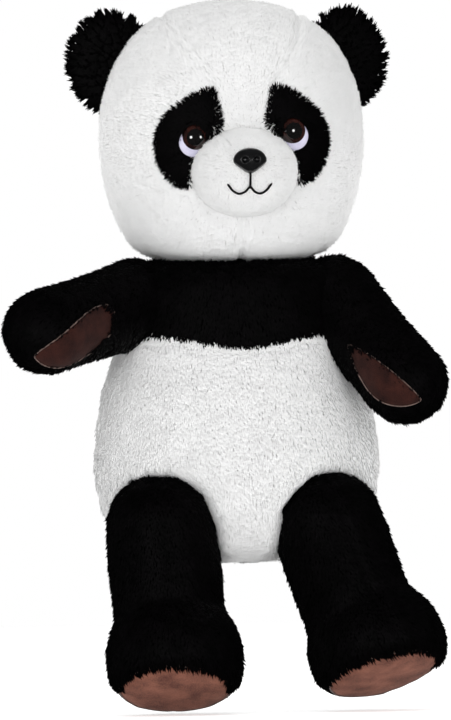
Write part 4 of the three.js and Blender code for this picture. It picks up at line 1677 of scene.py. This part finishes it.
@dataclass
class Torso(SubAssembly):
    """The torso: a black yoke over a white belly and back, with neck, tail, label and closing seam.

    The neck and the tail are a place and a radius. The hollow for a leg's top is the place of its round and its
    radius. The closing seam runs from one height to another.
    """

    half_width: float = 84.5
    depth_share: float = 0.74
    yoke_z: float = 227.0
    yoke_dip: float = 6.0
    neck: tuple[float, float, float, float] = (0.0, 3.0, 270.0, 27.0)
    tail: tuple[float, float, float, float] = (0.0, 62.0, 122.0, 15.0)
    socket: tuple[float, float, float, float] = (50.0, -32.0, 114.0, 32.5)
    socket_slope: float = 13.0
    filling_gap: float = 5.5
    closing_seam: tuple[float, float] = (150.0, 214.0)
    label_place: tuple[float, float] = (-30.0, 128.0)
    label_size: tuple[float, float] = (18.0, 26.0)
    profile: tuple[tuple[float, float], ...] = (
        *((0, 94), (26, 94), (58, 99), (78, 118), (84.5, 145), (83, 170)),
        *((79, 195), (71, 220), (65.5, 250), (60, 267), (44, 271.5), (0, 271)),
    )

    def shape(self, inset: float) -> Shape:
        """The torso's pear, with the hollows in front that the tops of the legs sit in.

        Args:
            inset: how far it is drawn in, in millimetres.

        Returns:
            Its vertices and faces.
        """
        curve = turned_profile(self.profile)
        low, high = curve[0][1], curve[-1][1]
        middle = (low + high) / 2
        curve[:, 0] *= (self.half_width - inset) / self.half_width
        curve[:, 1] = (curve[:, 1] - middle) * (high - low - 2 * inset) / (high - low) + middle
        v, f = revolve(curve, 56, self.depth_share)
        made = mesh_object("torso_shape", placed(v), f)
        apply_modifier(made, "REMESH", mode="VOXEL", voxel_size=3.5 * MM)
        p = places(made.data)
        x, y, z = pattern(p).T
        hip_x, hip_y, hip_z, room = self.socket
        beside, rise = np.abs(x) - hip_x, np.maximum(z - hip_z, 0)
        inner = room**2 - rise**2 - beside**2
        slope = math.tan(math.radians(self.socket_slope))
        back = hip_y + np.sqrt(np.maximum(inner, 0)) + np.maximum(hip_z - z, 0) * slope
        p[:, 1] = np.where((inner > 0) & (y < back), back * MM + ORIGIN.y, p[:, 1])
        faces = [list(f.vertices) for f in made.data.polygons]
        bpy.data.objects.remove(made)
        return p, faces

    def yoke_line(self, x: Array, y: Array) -> Array:
        """The height of the seam between yoke and belly, which dips in the middle of the chest."""
        dip = self.yoke_dip * np.exp(-((x / 34) ** 2)) * np.where(y < 0, 1.0, 0.3)
        return self.yoke_z - dip + 3 * np.abs(x) / 60

    def seams(self, points: Array) -> Array:
        """The distance from the yoke's seam, the side seams and the back seam.

        Args:
            points: one row each, in metres.

        Returns:
            Metres to the nearest seam.
        """
        x, y, z = pattern(points).T
        yoke = np.abs(z - self.yoke_line(x, y))
        sides = np.where(np.abs(x) > 20, np.abs(y), FAR)
        back = np.where((y > 0) & (z < self.yoke_z), np.abs(x), FAR)
        return nearest(yoke, sides, back) * MM

    def build(self, shop: Workshop) -> None:
        """Makes the torso's, neck's and tail's covers, ready to swell.

        Args:
            shop: the workshop.
        """
        shop.forms["torso"] = Form(mesh_object("torso_cover", *self.shape(0.8)), self.seams, swell=2.0)
        x, y, z, r = self.neck
        v, f = ball((1.75 * r, r, 14), (x, y, z + 2), 36, 18)
        shop.forms["neck"] = Form(mesh_object("neck_cover", placed(v), f), never, swell=1.0, crease=0)
        x, y, z, r = self.tail
        v, f = ball((r - 3, r - 3, r - 3), (x, y, z), 28, 14)
        shop.forms["tail"] = Form(mesh_object("tail_plush", placed(v), f), never, swell=0.8, crease=0)

    def dress(self, shop: Workshop) -> None:
        """Cuts, finishes and fills the torso, and adds the neck, tail, label and stitches.

        Args:
            shop: the workshop.
        """
        whole = shop.forms["torso"].cover
        self._pile(shop, whole)
        yoke = ["chest_yoke_front", "chest_yoke_back"]
        lower = ["belly_panel", "back_panel_left", "back_panel_right"]
        for name, above, finish, slot, panels, fill in (
            ("chest_yoke_plush", True, BLACK_BACKING, Slot.BLACK_PLUSH, yoke, 0.9),
            ("belly_and_back_plush", False, WHITE_BACKING, Slot.WHITE_PLUSH, lower, 0.95),
        ):
            finish_piece(self._cut(whole, name, above), finish, slot, "torso", panels, fill)
        bpy.data.objects.remove(whole)
        add_filling("body_filling", self.shape(self.filling_gap), "torso", "body_stuffing")
        self._neck(shop)
        self._tail(shop)
        self._closing_seam(shop)
        self._label(shop)

    def _cut(self, whole: Object, name: str, above: bool) -> Object:
        """Cuts the yoke or what is under it from the whole cover, as a closed shell.

        Args:
            whole: the cover, which stays as it is.
            name: the new piece's name.
            above: whether it is the part above the yoke's seam.

        Returns:
            The piece.
        """
        made = linked(name, whole.data.copy())
        for way in (-1, 1):
            p = places(made.data)
            x, y, _ = pattern(p).T
            p[:, 2] += way * self.yoke_line(x, y) * MM
            move_to(made.data, p)
            if way < 0:
                cut(made, ORIGIN.z, above)
        apply_modifier(made, "SOLIDIFY", thickness=1.2 * MM, offset=-1.0)
        return made

    def _pile(self, shop: Workshop, cover: Object) -> None:
        """Grows black pile on the yoke and white pile on the belly and back, all combed down.

        Args:
            shop: the workshop.
            cover: the whole torso's cover.
        """
        p, n = places(cover.data), facings(cover.data)
        x, y, z = pattern(p).T
        limbs = [f"{limb}_{side.word}" for limb in ("arm", "leg") for side in Side]
        bare = shop.clear_of(p, [*limbs, "neck"], -1.5)
        above = ramp(z - self.yoke_line(x, y), -0.5, 0.5)
        front = ramp(-y, -0.5, 0.5)
        left = ramp(x, -0.4, 0.4)
        comb = tangent(np.broadcast_to(np.array([0.0, 0.0, -1.0]), p.shape) + 0.25 * n * [1, 1, 0], n)
        height = 0.7 + 0.3 * ramp(self.seams(p), 0.3 * MM, 3.0 * MM)
        black = black_pile(5.4, 0.6, 1.3, **LAID)
        belly, back = white_pile(5.2, 0.5, 2.1, **COMBED), white_pile(6.4, 0.7, 1.0, **COMBED)
        below = bare * (1 - above)
        for seed, (name, pile, mask) in enumerate(
            (
                ("yoke_pile", black, bare * above),
                ("belly_pile_left", belly, below * front * left),
                ("belly_pile_right", belly, below * front * (1 - left)),
                ("back_pile_left", back, below * (1 - front) * left),
                ("back_pile_right", back, below * (1 - front) * (1 - left)),
            ),
            41,
        ):
            shop.growth.grow(name, cover, pile, "torso", seed, mask, comb, height)

    def _neck(self, shop: Workshop) -> None:
        """A short black neck that closes the gap under the head.

        Args:
            shop: the workshop.
        """
        cover = shop.forms["neck"].cover
        finish_piece(cover, BLACK_BACKING, Slot.BLACK_PLUSH, "neck", ["neck_stuffing"], 0.9)
        p, n = places(cover.data), facings(cover.data)
        comb = tangent(np.broadcast_to(np.array([0.0, 0.0, -1.0]), p.shape), n)
        mask = shop.clear_of(p, ["head", "torso"], 0.0)
        pile = black_pile(5.4, 0.6, 1.3, lean=0.4, clump=0.3)
        shop.growth.grow("neck_pile", cover, pile, "neck", 47, mask, comb, 1.0)

    def _tail(self, shop: Workshop) -> None:
        """A round white tail with its own filling.

        Args:
            shop: the workshop.
        """
        cover = shop.forms["tail"].cover
        finish_piece(cover, WHITE_BACKING, Slot.WHITE_PLUSH, "torso", ["tail_cover"], 0.9)
        x, y, z, r = self.tail
        v, f = ball((r - 4, r - 4, r - 4), (x, y + 1, z), 24, 12)
        add_filling("tail_filling", (placed(v), f), "torso", "tail_wadding")
        p, n = places(cover.data), facings(cover.data)
        comb = tangent(p - row(x, y - 20, z) + np.array([0, 0, -0.006]), n)
        mask = shop.clear_of(p, ["torso"], -1.0)
        pile = white_pile(6.5, 0.66, 1.3, lean=0.6, clump=0.3, wander=0.4)
        shop.growth.grow("tail_pile", cover, pile, "torso", 48, mask, comb, 1.0)

    def _closing_seam(self, shop: Workshop) -> None:
        """The ladder stitches that close the back.

        Args:
            shop: the workshop.
        """
        tree = shop.forms["torso"].tree
        line = []
        for z in np.linspace(*self.closing_seam, 24):
            found = tree.ray_cast(at(0, 120, z), Vector((0, -1, 0)))[0]
            line.append(found + Vector((0, 0.6 * MM, 0)))
        made = shop.needle.sew("back_ladder_stitches", [rows(line)], WHITE_THREAD, 4.0, 5.0, 0.5, slant=1.1)
        finish_piece(made, WHITE_THREAD, Slot.WHITE_THREAD, "torso", ["closing_stitches"])

    def _label(self, shop: Workshop) -> None:
        """A folded satin label in the seam beside the tail, with nothing written on it.

        Args:
            shop: the workshop.
        """
        (x, z), (width, length) = self.label_place, self.label_size
        tree = shop.forms["torso"].tree
        root = (tree.ray_cast(at(x, 120, z), Vector((0, -1, 0)))[0] - ORIGIN).y / MM - 2.0
        out = np.linspace(0, 1, 14)
        path = [(x - 0.25 - 1.1 * math.sin(math.pi * t) - 2.0 * t * t, root + length * t) for t in out]
        for a in np.linspace(-math.pi / 2, math.pi / 2, 7)[1:-1]:
            path.append((x - 2.0 + 0.3 * math.sin(a), root + length + 0.5 * math.cos(a)))
        path += [(x + 0.35 - 0.7 * math.sin(math.pi * t) - 2.0 * t * t, root + length * t) for t in out[::-1]]
        across = np.linspace(-width / 2, width / 2, 8)
        v = [tuple(at(px, py, z + s)) for px, py in path for s in across]
        n = len(across)
        starts = [i * n + j for i in range(len(path) - 1) for j in range(n - 1)]
        made = mesh_object("satin_label", np.array(v), [[k, k + 1, k + n + 1, k + n] for k in starts])
        apply_modifier(made, "SOLIDIFY", thickness=0.22 * MM, offset=0.0)
        finish_piece(made, SATIN, Slot.LABEL, "torso", ["care_label"])


# ---- limbs


@dataclass(frozen=True)
class ArmLie:
    """How one arm is held: degrees down and forward, and how its pad faces, slants, and is shifted and widened."""

    down: float
    forward: float
    pad_facing: tuple[float, float, float]
    pad_slant: float
    pad_shift: float
    pad_above: float


ARM_LIES = {
    Side.LEFT: ArmLie(55.0, 40.0, (0.1, -0.93, -0.35), -8.0, 8.0, 5.0),
    Side.RIGHT: ArmLie(15.0, 38.0, (0.2, -0.95, -0.25), 24.0, 4.0, 10.5),
}


@dataclass
class Arm(SubAssembly):
    """An arm: a black sleeve round the filling, with a velour pad on the paw."""

    side: Side
    reach: float = 79.0
    shoulder_radius: float = 26.0
    paw_radius: float = 24.5
    waist: float = 1.3
    pad_half: tuple[float, float] = (47.0, 23.0)
    pad_drop: float = 4.0
    filling_gap: float = 5.0

    @property
    def pivot(self) -> Vector:
        """Where the arm turns."""
        return joint_position(f"shoulder_{self.side.word}")

    @property
    def along(self) -> Vector:
        """The way the arm points at rest."""
        down, forward = math.radians(ARM_LIES[self.side].down), math.radians(ARM_LIES[self.side].forward)
        level = math.cos(forward)
        return Vector((self.side.value * level * math.cos(down), -math.sin(forward), -level * math.sin(down)))

    @property
    def pad_facing(self) -> Vector:
        """The way the paw's pad looks, square to the arm."""
        rough = Vector(ARM_LIES[self.side].pad_facing)
        return (rough - self.along * rough.dot(self.along)).normalized()

    def shape(self, inset: float) -> Shape:
        """The arm's round: two caps with a slight waist between them.

        Args:
            inset: how far it is drawn in, in millimetres.

        Returns:
            Its vertices and faces.
        """
        low, high = self.shoulder_radius - inset, self.paw_radius - inset
        profile = [(low * math.cos(t), low * math.sin(t)) for t in np.linspace(-math.pi / 2, 0, 10)]
        for t in np.linspace(0, 1, 8)[1:-1]:
            profile.append((low + (high - low) * t - self.waist * math.sin(math.pi * t), self.reach * t))
        profile += [(high * math.cos(t), self.reach + high * math.sin(t)) for t in np.linspace(0, math.pi / 2, 12)]
        profile[0], profile[-1] = (0, profile[0][1]), (0, profile[-1][1])
        v, f = revolve(np.array(profile), 36)
        turn = np.array(Vector((0, 0, 1)).rotation_difference(self.along).to_matrix())
        return v @ turn.T * MM + rows([self.pivot]), f

    def seams(self, points: Array) -> Array:
        """The distance from the seam along the arm, in metres."""
        side = self.along.cross(self.pad_facing).normalized()
        return np.abs((points - rows([self.pivot])) @ np.array(self.along.cross(side)))

    def pad(self) -> Pad:
        """The paw's pad, which wraps round the paw.

        Returns:
            The pad, not yet laid.
        """
        lie = ARM_LIES[self.side]
        half_length, below = self.pad_half
        slant = math.radians(lie.pad_slant)
        over = self.pad_facing.cross(self.along)
        if over.z < 0:
            over = -over
        return Pad(
            f"paw_pad_plush_{self.side.word}",
            self.pivot + self.along * (self.reach + lie.pad_shift) * MM,
            self.along * math.cos(slant) - over * math.sin(slant),
            over * math.cos(slant) + self.along * math.sin(slant),
            self.pad_facing,
            leaf(half_length, lie.pad_above, below) - (0, self.pad_drop),
            lift=1.6,
            crown=1.0,
            depth=self.paw_radius,
        )

    def build(self, shop: Workshop) -> None:
        """Makes the sleeve, ready to swell."""
        cover = mesh_object(f"arm_cover_{self.side.word}", *self.shape(0.6))
        shop.forms[f"arm_{self.side.word}"] = Form(cover, self.seams, swell=1.6)

    def dress(self, shop: Workshop) -> None:
        """Finishes the arm and its pad, fills it and grows its pile.

        Args:
            shop: the workshop.
        """
        word, body = self.side.word, f"arm_{self.side.word}"
        form = shop.forms[body]
        pad = self.pad()
        panels = [f"arm_outer_panel_{word}", f"arm_inner_panel_{word}"]
        # The paw pad is the velour copy darkened with painted shade.
        dress_limb(form, pad, body, panels, f"paw_pad_{word}", PAINTED_SHADE_VELOUR, (1.7, 0.4))
        add_filling(f"arm_filling_{word}", self.shape(self.filling_gap), body, f"arm_stuffing_{word}")
        p, n = places(form.cover.data), facings(form.cover.data)
        mask = shop.clear_of(p, ["torso"], -3.0) * (pad.past_edge(p) > -0.6)
        comb = tangent(np.broadcast_to(np.array(self.along), p.shape) + np.array([0, 0, -0.35]), n)
        pile = black_pile(5.2, 0.6, 1.4, **LAID)
        shop.growth.grow(f"arm_pile_{word}", form.cover, pile, body, 51 + self.side.value, mask, comb, 1.0)


def dress_limb(
    form: Form, pad: Pad, body: str, panels: Sequence[str], node: str, velour: Finish, edge: tuple[float, float]
) -> None:
    """Finishes a limb's cover and lays its velour pad with the pad's turned edge.

    Args:
        form: the limb's form.
        pad: its pad.
        body: the frame's body that they move with.
        panels: the frame's nodes that the cover stands for.
        node: the frame's node that the pad stands for.
        velour: what the pad is made of, in the copy whose colour has the pad's light or shade painted in.
        edge: how far off the form the turned edge lies, and its radius, in millimetres.
    """
    finish_piece(form.cover, BLACK_BACKING, Slot.BLACK_PLUSH, body, panels, 0.9)
    finish_piece(pad.build(form.tree), velour, Slot.VELOUR, body, [node], 0.8)
    off, radius = edge
    name = node.replace("_pad_", "_pad_edge_")
    welt = mesh_object(name, *ring_tube(pad.edge(form.tree, off), radius * MM))
    finish_piece(welt, VELOUR_WELT, Slot.VELOUR, body)


@dataclass(frozen=True)
class LegLie:
    """How one leg is held, in degrees, and its sole: how far under the foot's middle, and how far rolled."""

    lean: float
    pitch: float
    toe_out: float
    sole_drop: float
    sole_roll: float


LEG_LIES = {
    Side.LEFT: LegLie(19.0, -3.0, 12.0, 16.5, 12.0),
    Side.RIGHT: LegLie(-4.0, 2.0, 2.0, 19.5, 6.0),
}


@dataclass
class Leg(SubAssembly):
    """A leg: a black cover on a thick tube and a big foot, with a velour pad on its flat sole."""

    side: Side
    hip_radius: float = 31.5
    foot_centre: tuple[float, float, float] = (0.0, -10.0, -80.0)
    foot_half: tuple[float, float, float] = (39.5, 45.0, 42.0)
    tilt: float = 22.0
    sole_half: tuple[float, float] = (36.0, 33.5)
    filling_gap: float = 5.0

    @property
    def pivot(self) -> Vector:
        """Where the leg turns."""
        return joint_position(f"hip_{self.side.word}")

    @property
    def turn(self) -> Matrix:
        """How the leg is turned at rest."""
        lie, way = LEG_LIES[self.side], self.side.value
        return (
            Matrix.Rotation(-way * math.radians(lie.lean), 3, "Y")
            @ Matrix.Rotation(-math.radians(lie.pitch), 3, "X")
            @ Matrix.Rotation(way * math.radians(lie.toe_out), 3, "Z")
        )

    @property
    def sole_normal(self) -> Vector:
        """The way the sole faces, in the leg's own frame."""
        down = Vector((0, -math.sin(math.radians(self.tilt)), -math.cos(math.radians(self.tilt))))
        return Matrix.Rotation(math.radians(LEG_LIES[self.side].sole_roll), 3, "Y") @ down

    def shape(self, inset: float) -> Shape:
        """The leg's round, cut flat at the sole.

        Args:
            inset: how far it is drawn in, in millimetres.

        Returns:
            Its vertices and faces.
        """
        r = self.hip_radius - inset
        top = [(r * math.cos(a), r * math.sin(a)) for a in np.linspace(0, math.pi / 2, 12)]
        top[-1] = (0, top[-1][1])
        low = [(0, -84), (24 - inset, -84), (r - 1.0, -62), (r + 0.3, -45), (r + 0.6, -22)]
        shank = revolve(np.array(low + top, float), 40)
        foot = ball(np.array(self.foot_half) - inset, self.foot_centre, 44, 24)
        v, f = joined([shank, foot])
        normal = np.array(self.sole_normal)
        drop = LEG_LIES[self.side].sole_drop - inset
        over = np.maximum((v - np.array(self.foot_centre)) @ normal - drop, 0)
        v = v - over[:, None] * normal
        return v @ np.array(self.turn).T * MM + rows([self.pivot]), f

    def past_sole(self, points: Array, rise: float) -> Array:
        """How far each point is past a plane that lies some millimetres above the sole, in metres."""
        from_foot = points - rows([self.pivot + self.turn @ Vector(self.foot_centre) * MM])
        return from_foot @ np.array(self.turn @ self.sole_normal) - (LEG_LIES[self.side].sole_drop - rise) * MM

    def flatten(self, mesh: Mesh) -> None:
        """Presses what swelled past the sole flat again."""
        p = places(mesh)
        move_to(mesh, p - np.maximum(self.past_sole(p, 1.0), 0)[:, None] * np.array(self.turn @ self.sole_normal))

    def seams(self, points: Array) -> Array:
        """The distance from the seam down the leg's front and back, and from the sole's, in metres."""
        sideways = np.array(self.turn @ Vector((1, 0, 0)))
        return nearest(np.abs((points - rows([self.pivot])) @ sideways), np.abs(self.past_sole(points, 1.4)))

    def pad(self) -> Pad:
        """The sole's pad.

        Returns:
            The pad, not yet laid.
        """
        normal = self.turn @ self.sole_normal
        across = self.turn @ Vector((1, 0, 0))
        centre = Vector(self.foot_centre) + self.sole_normal * LEG_LIES[self.side].sole_drop + Vector((0, 0.8, 0))
        return Pad(
            f"sole_pad_plush_{self.side.word}",
            self.pivot + self.turn @ centre * MM,
            normal.cross(across).normalized(),
            across,
            normal,
            ellipse(*self.sole_half),
            lift=1.2,
            crown=2.0,
        )

    def build(self, shop: Workshop) -> None:
        """Makes the leg's cover, ready to swell."""
        cover = mesh_object(f"leg_cover_{self.side.word}", *self.shape(0.4))
        shop.forms[f"leg_{self.side.word}"] = Form(cover, self.seams, swell=1.6, smoothing=4)

    def dress(self, shop: Workshop) -> None:
        """Finishes the leg and its sole, fills it and grows its pile, short under the heel and long over the toes.

        Args:
            shop: the workshop.
        """
        word, body = self.side.word, f"leg_{self.side.word}"
        form = shop.forms[body]
        self.flatten(form.cover.data)
        form.tree = tree_of(form.cover.data)
        pad = self.pad()
        panels = [f"leg_outer_panel_{word}", f"leg_inner_panel_{word}"]
        # The sole is the velour copy lightened with painted light.
        dress_limb(form, pad, body, panels, f"sole_pad_{word}", PAINTED_LIGHT_VELOUR, (1.4, 0.45))
        add_filling(f"leg_filling_{word}", self.shape(self.filling_gap), body, f"leg_stuffing_{word}")
        p, n = places(form.cover.data), facings(form.cover.data)
        from_pad = p - rows([pad.centre])
        edge, rise = pad.past_edge(p), from_pad @ np.array(pad.facing)
        mask = shop.clear_of(p, ["torso"], -3.0) * ~((edge < -0.6) & (rise > -3.5 * MM))
        low = 1 - ramp(-rise, 4 * MM, 14 * MM)
        down = np.broadcast_to(np.array(self.turn @ Vector((0, -0.25, -1))), p.shape)
        comb = tangent(down, n) * (1 - 0.25 * low)[:, None]
        heel = from_pad @ np.array(pad.along)
        heel = ramp(heel if pad.along.y > 0 else -heel, -4 * MM, 12 * MM)
        height = 1 - 0.6 * heel * low + 0.25 * (1 - heel) * (1 - ramp(edge, 1, 7)) * low
        pile = black_pile(5.2, 0.62, 1.2, **LAID)
        shop.growth.grow(f"leg_pile_{word}", form.cover, pile, body, 61 + self.side.value, mask, comb, height)


# ---- studio


@dataclass
class Studio:
    """A pale floor, soft light and the camera. Angles are in degrees, and distances in metres."""

    azimuth: float = -7.0
    elevation: float = 0.0
    roll: float = 1.0
    distance: float = 9.0
    millimetres_high: float = 432.0
    aim: tuple[float, float, float] = (-5.7, 0.0, 213.2)
    sensor: float = 36.0
    lamp_distance: float = 1.5
    room_light: float = 0.81
    room_gloss: float = 0.06
    floor_glow: float = 0.5
    lamps: tuple[tuple[str, float, float, float, float], ...] = (
        # name, azimuth, elevation, watts and size
        ("softbox_left", -26, 4, 3.8, 0.34),
        ("softbox_right", 26, 4, 2.8, 0.34),
        ("top", 0, 64, 7.0, 1.5),
    )

    def build(self) -> None:
        """Sets the whole studio."""
        self.camera()
        self.light()
        self.room()
        self.floor()

    def away(self, azimuth: float, elevation: float) -> Vector:
        """The way from the toy to a place round it."""
        a, e = math.radians(azimuth), math.radians(elevation)
        return Vector((math.sin(a) * math.cos(e), -math.cos(a) * math.cos(e), math.sin(e)))

    def camera(self) -> None:
        """Sets the camera in front, a little to the panda's right, with a slight roll."""
        data = bpy.data.cameras.new("camera")
        data.sensor_fit = "VERTICAL"
        data.sensor_height = self.sensor
        data.lens = self.sensor * self.distance / (self.millimetres_high * MM)
        a, r = math.radians(self.azimuth), math.radians(self.roll)
        back = self.away(self.azimuth, self.elevation)
        right = Vector((math.cos(a), math.sin(a), 0))
        target = at(0, 0, self.aim[2]) + right * self.aim[0] * MM
        rolled = right * math.cos(r) - back.cross(right) * math.sin(r)
        basis = Matrix((rolled, back.cross(rolled), back)).transposed().to_4x4()
        camera = linked("camera", data)
        camera.matrix_world = Matrix.Translation(target + back * self.distance) @ basis
        bpy.context.scene.camera = camera

    def light(self) -> None:
        """Hangs two softboxes level with the face, and a broad top light that doesn't show in gloss."""
        target = at(0, -40, 300)
        for name, azimuth, elevation, power, size in self.lamps:
            data = bpy.data.lights.new(name, "AREA")
            data.shape = "DISK"
            data.energy = power
            data.size = size
            lamp = linked(name, data)
            away = self.away(azimuth + self.azimuth, elevation)
            lamp.location = target + away * self.lamp_distance
            lamp.rotation_euler = away.to_track_quat("Z", "Y").to_euler()
            lamp.visible_glossy = name != "top"

    def room(self) -> None:
        """Makes the room bright, white behind the toy, and dark in what its eyes and nose reflect."""
        world = bpy.data.worlds.new("room")
        world.use_nodes = True
        tree = world.node_tree
        path = add_node(tree, "ShaderNodeLightPath").outputs
        levels = {"Value": path["Is Glossy Ray"], "To Min": self.room_light, "To Max": self.room_gloss}
        lit = add_node(tree, "ShaderNodeMapRange", inputs=levels).outputs[0]
        level = add_node(tree, "ShaderNodeMath", {"operation": "MAXIMUM"}, {0: lit, 1: path["Is Camera Ray"]})
        backdrop = tree.nodes["Background"]
        backdrop.inputs["Color"].default_value = linear("#ffffff")
        tree.links.new(level.outputs[0], backdrop.inputs["Strength"])
        bpy.context.scene.world = world
        bpy.context.scene.view_settings.view_transform = "Standard"

    def floor(self) -> None:
        """Lays a pale floor under the heels, lit so that no horizon shows."""
        v, f = revolve(np.array([(0, -0.02), (3.0, -0.02), (3.0, 0.0), (0, 0.0)]), 64)
        made = mesh_object("floor", v + np.array([0, 0, CAD_BOUNDS[0][2] - 0.0005]), f)
        paper = PAPER.build()
        shader = next(n for n in paper.node_tree.nodes if n.type == "BSDF_PRINCIPLED")
        shader.inputs["Emission Color"].default_value = linear("#ffffff")
        shader.inputs["Emission Strength"].default_value = self.floor_glow
        made.data.materials.append(paper)
        made.visible_glossy = False


def main() -> None:
    """Makes the toy piece by piece and sets the studio."""
    logging.basicConfig(level=logging.INFO, format="%(message)s")
    Studio().build()
    shop = Workshop(Growth(), Needle())
    head, torso = Head(), Torso()
    limbs = [kind(side) for kind in (Arm, Leg) for side in Side]
    ears = [Ear(side) for side in Side]
    for part in (head, *ears, torso, *limbs):
        part.build(shop)
    swell_all(list(shop.forms.values()))
    for part in (head, Face(head), *ears, *limbs, torso):
        part.dress(shop)
        LOG.info("%s done", type(part).__name__)


if __name__ == "__main__":
    main()
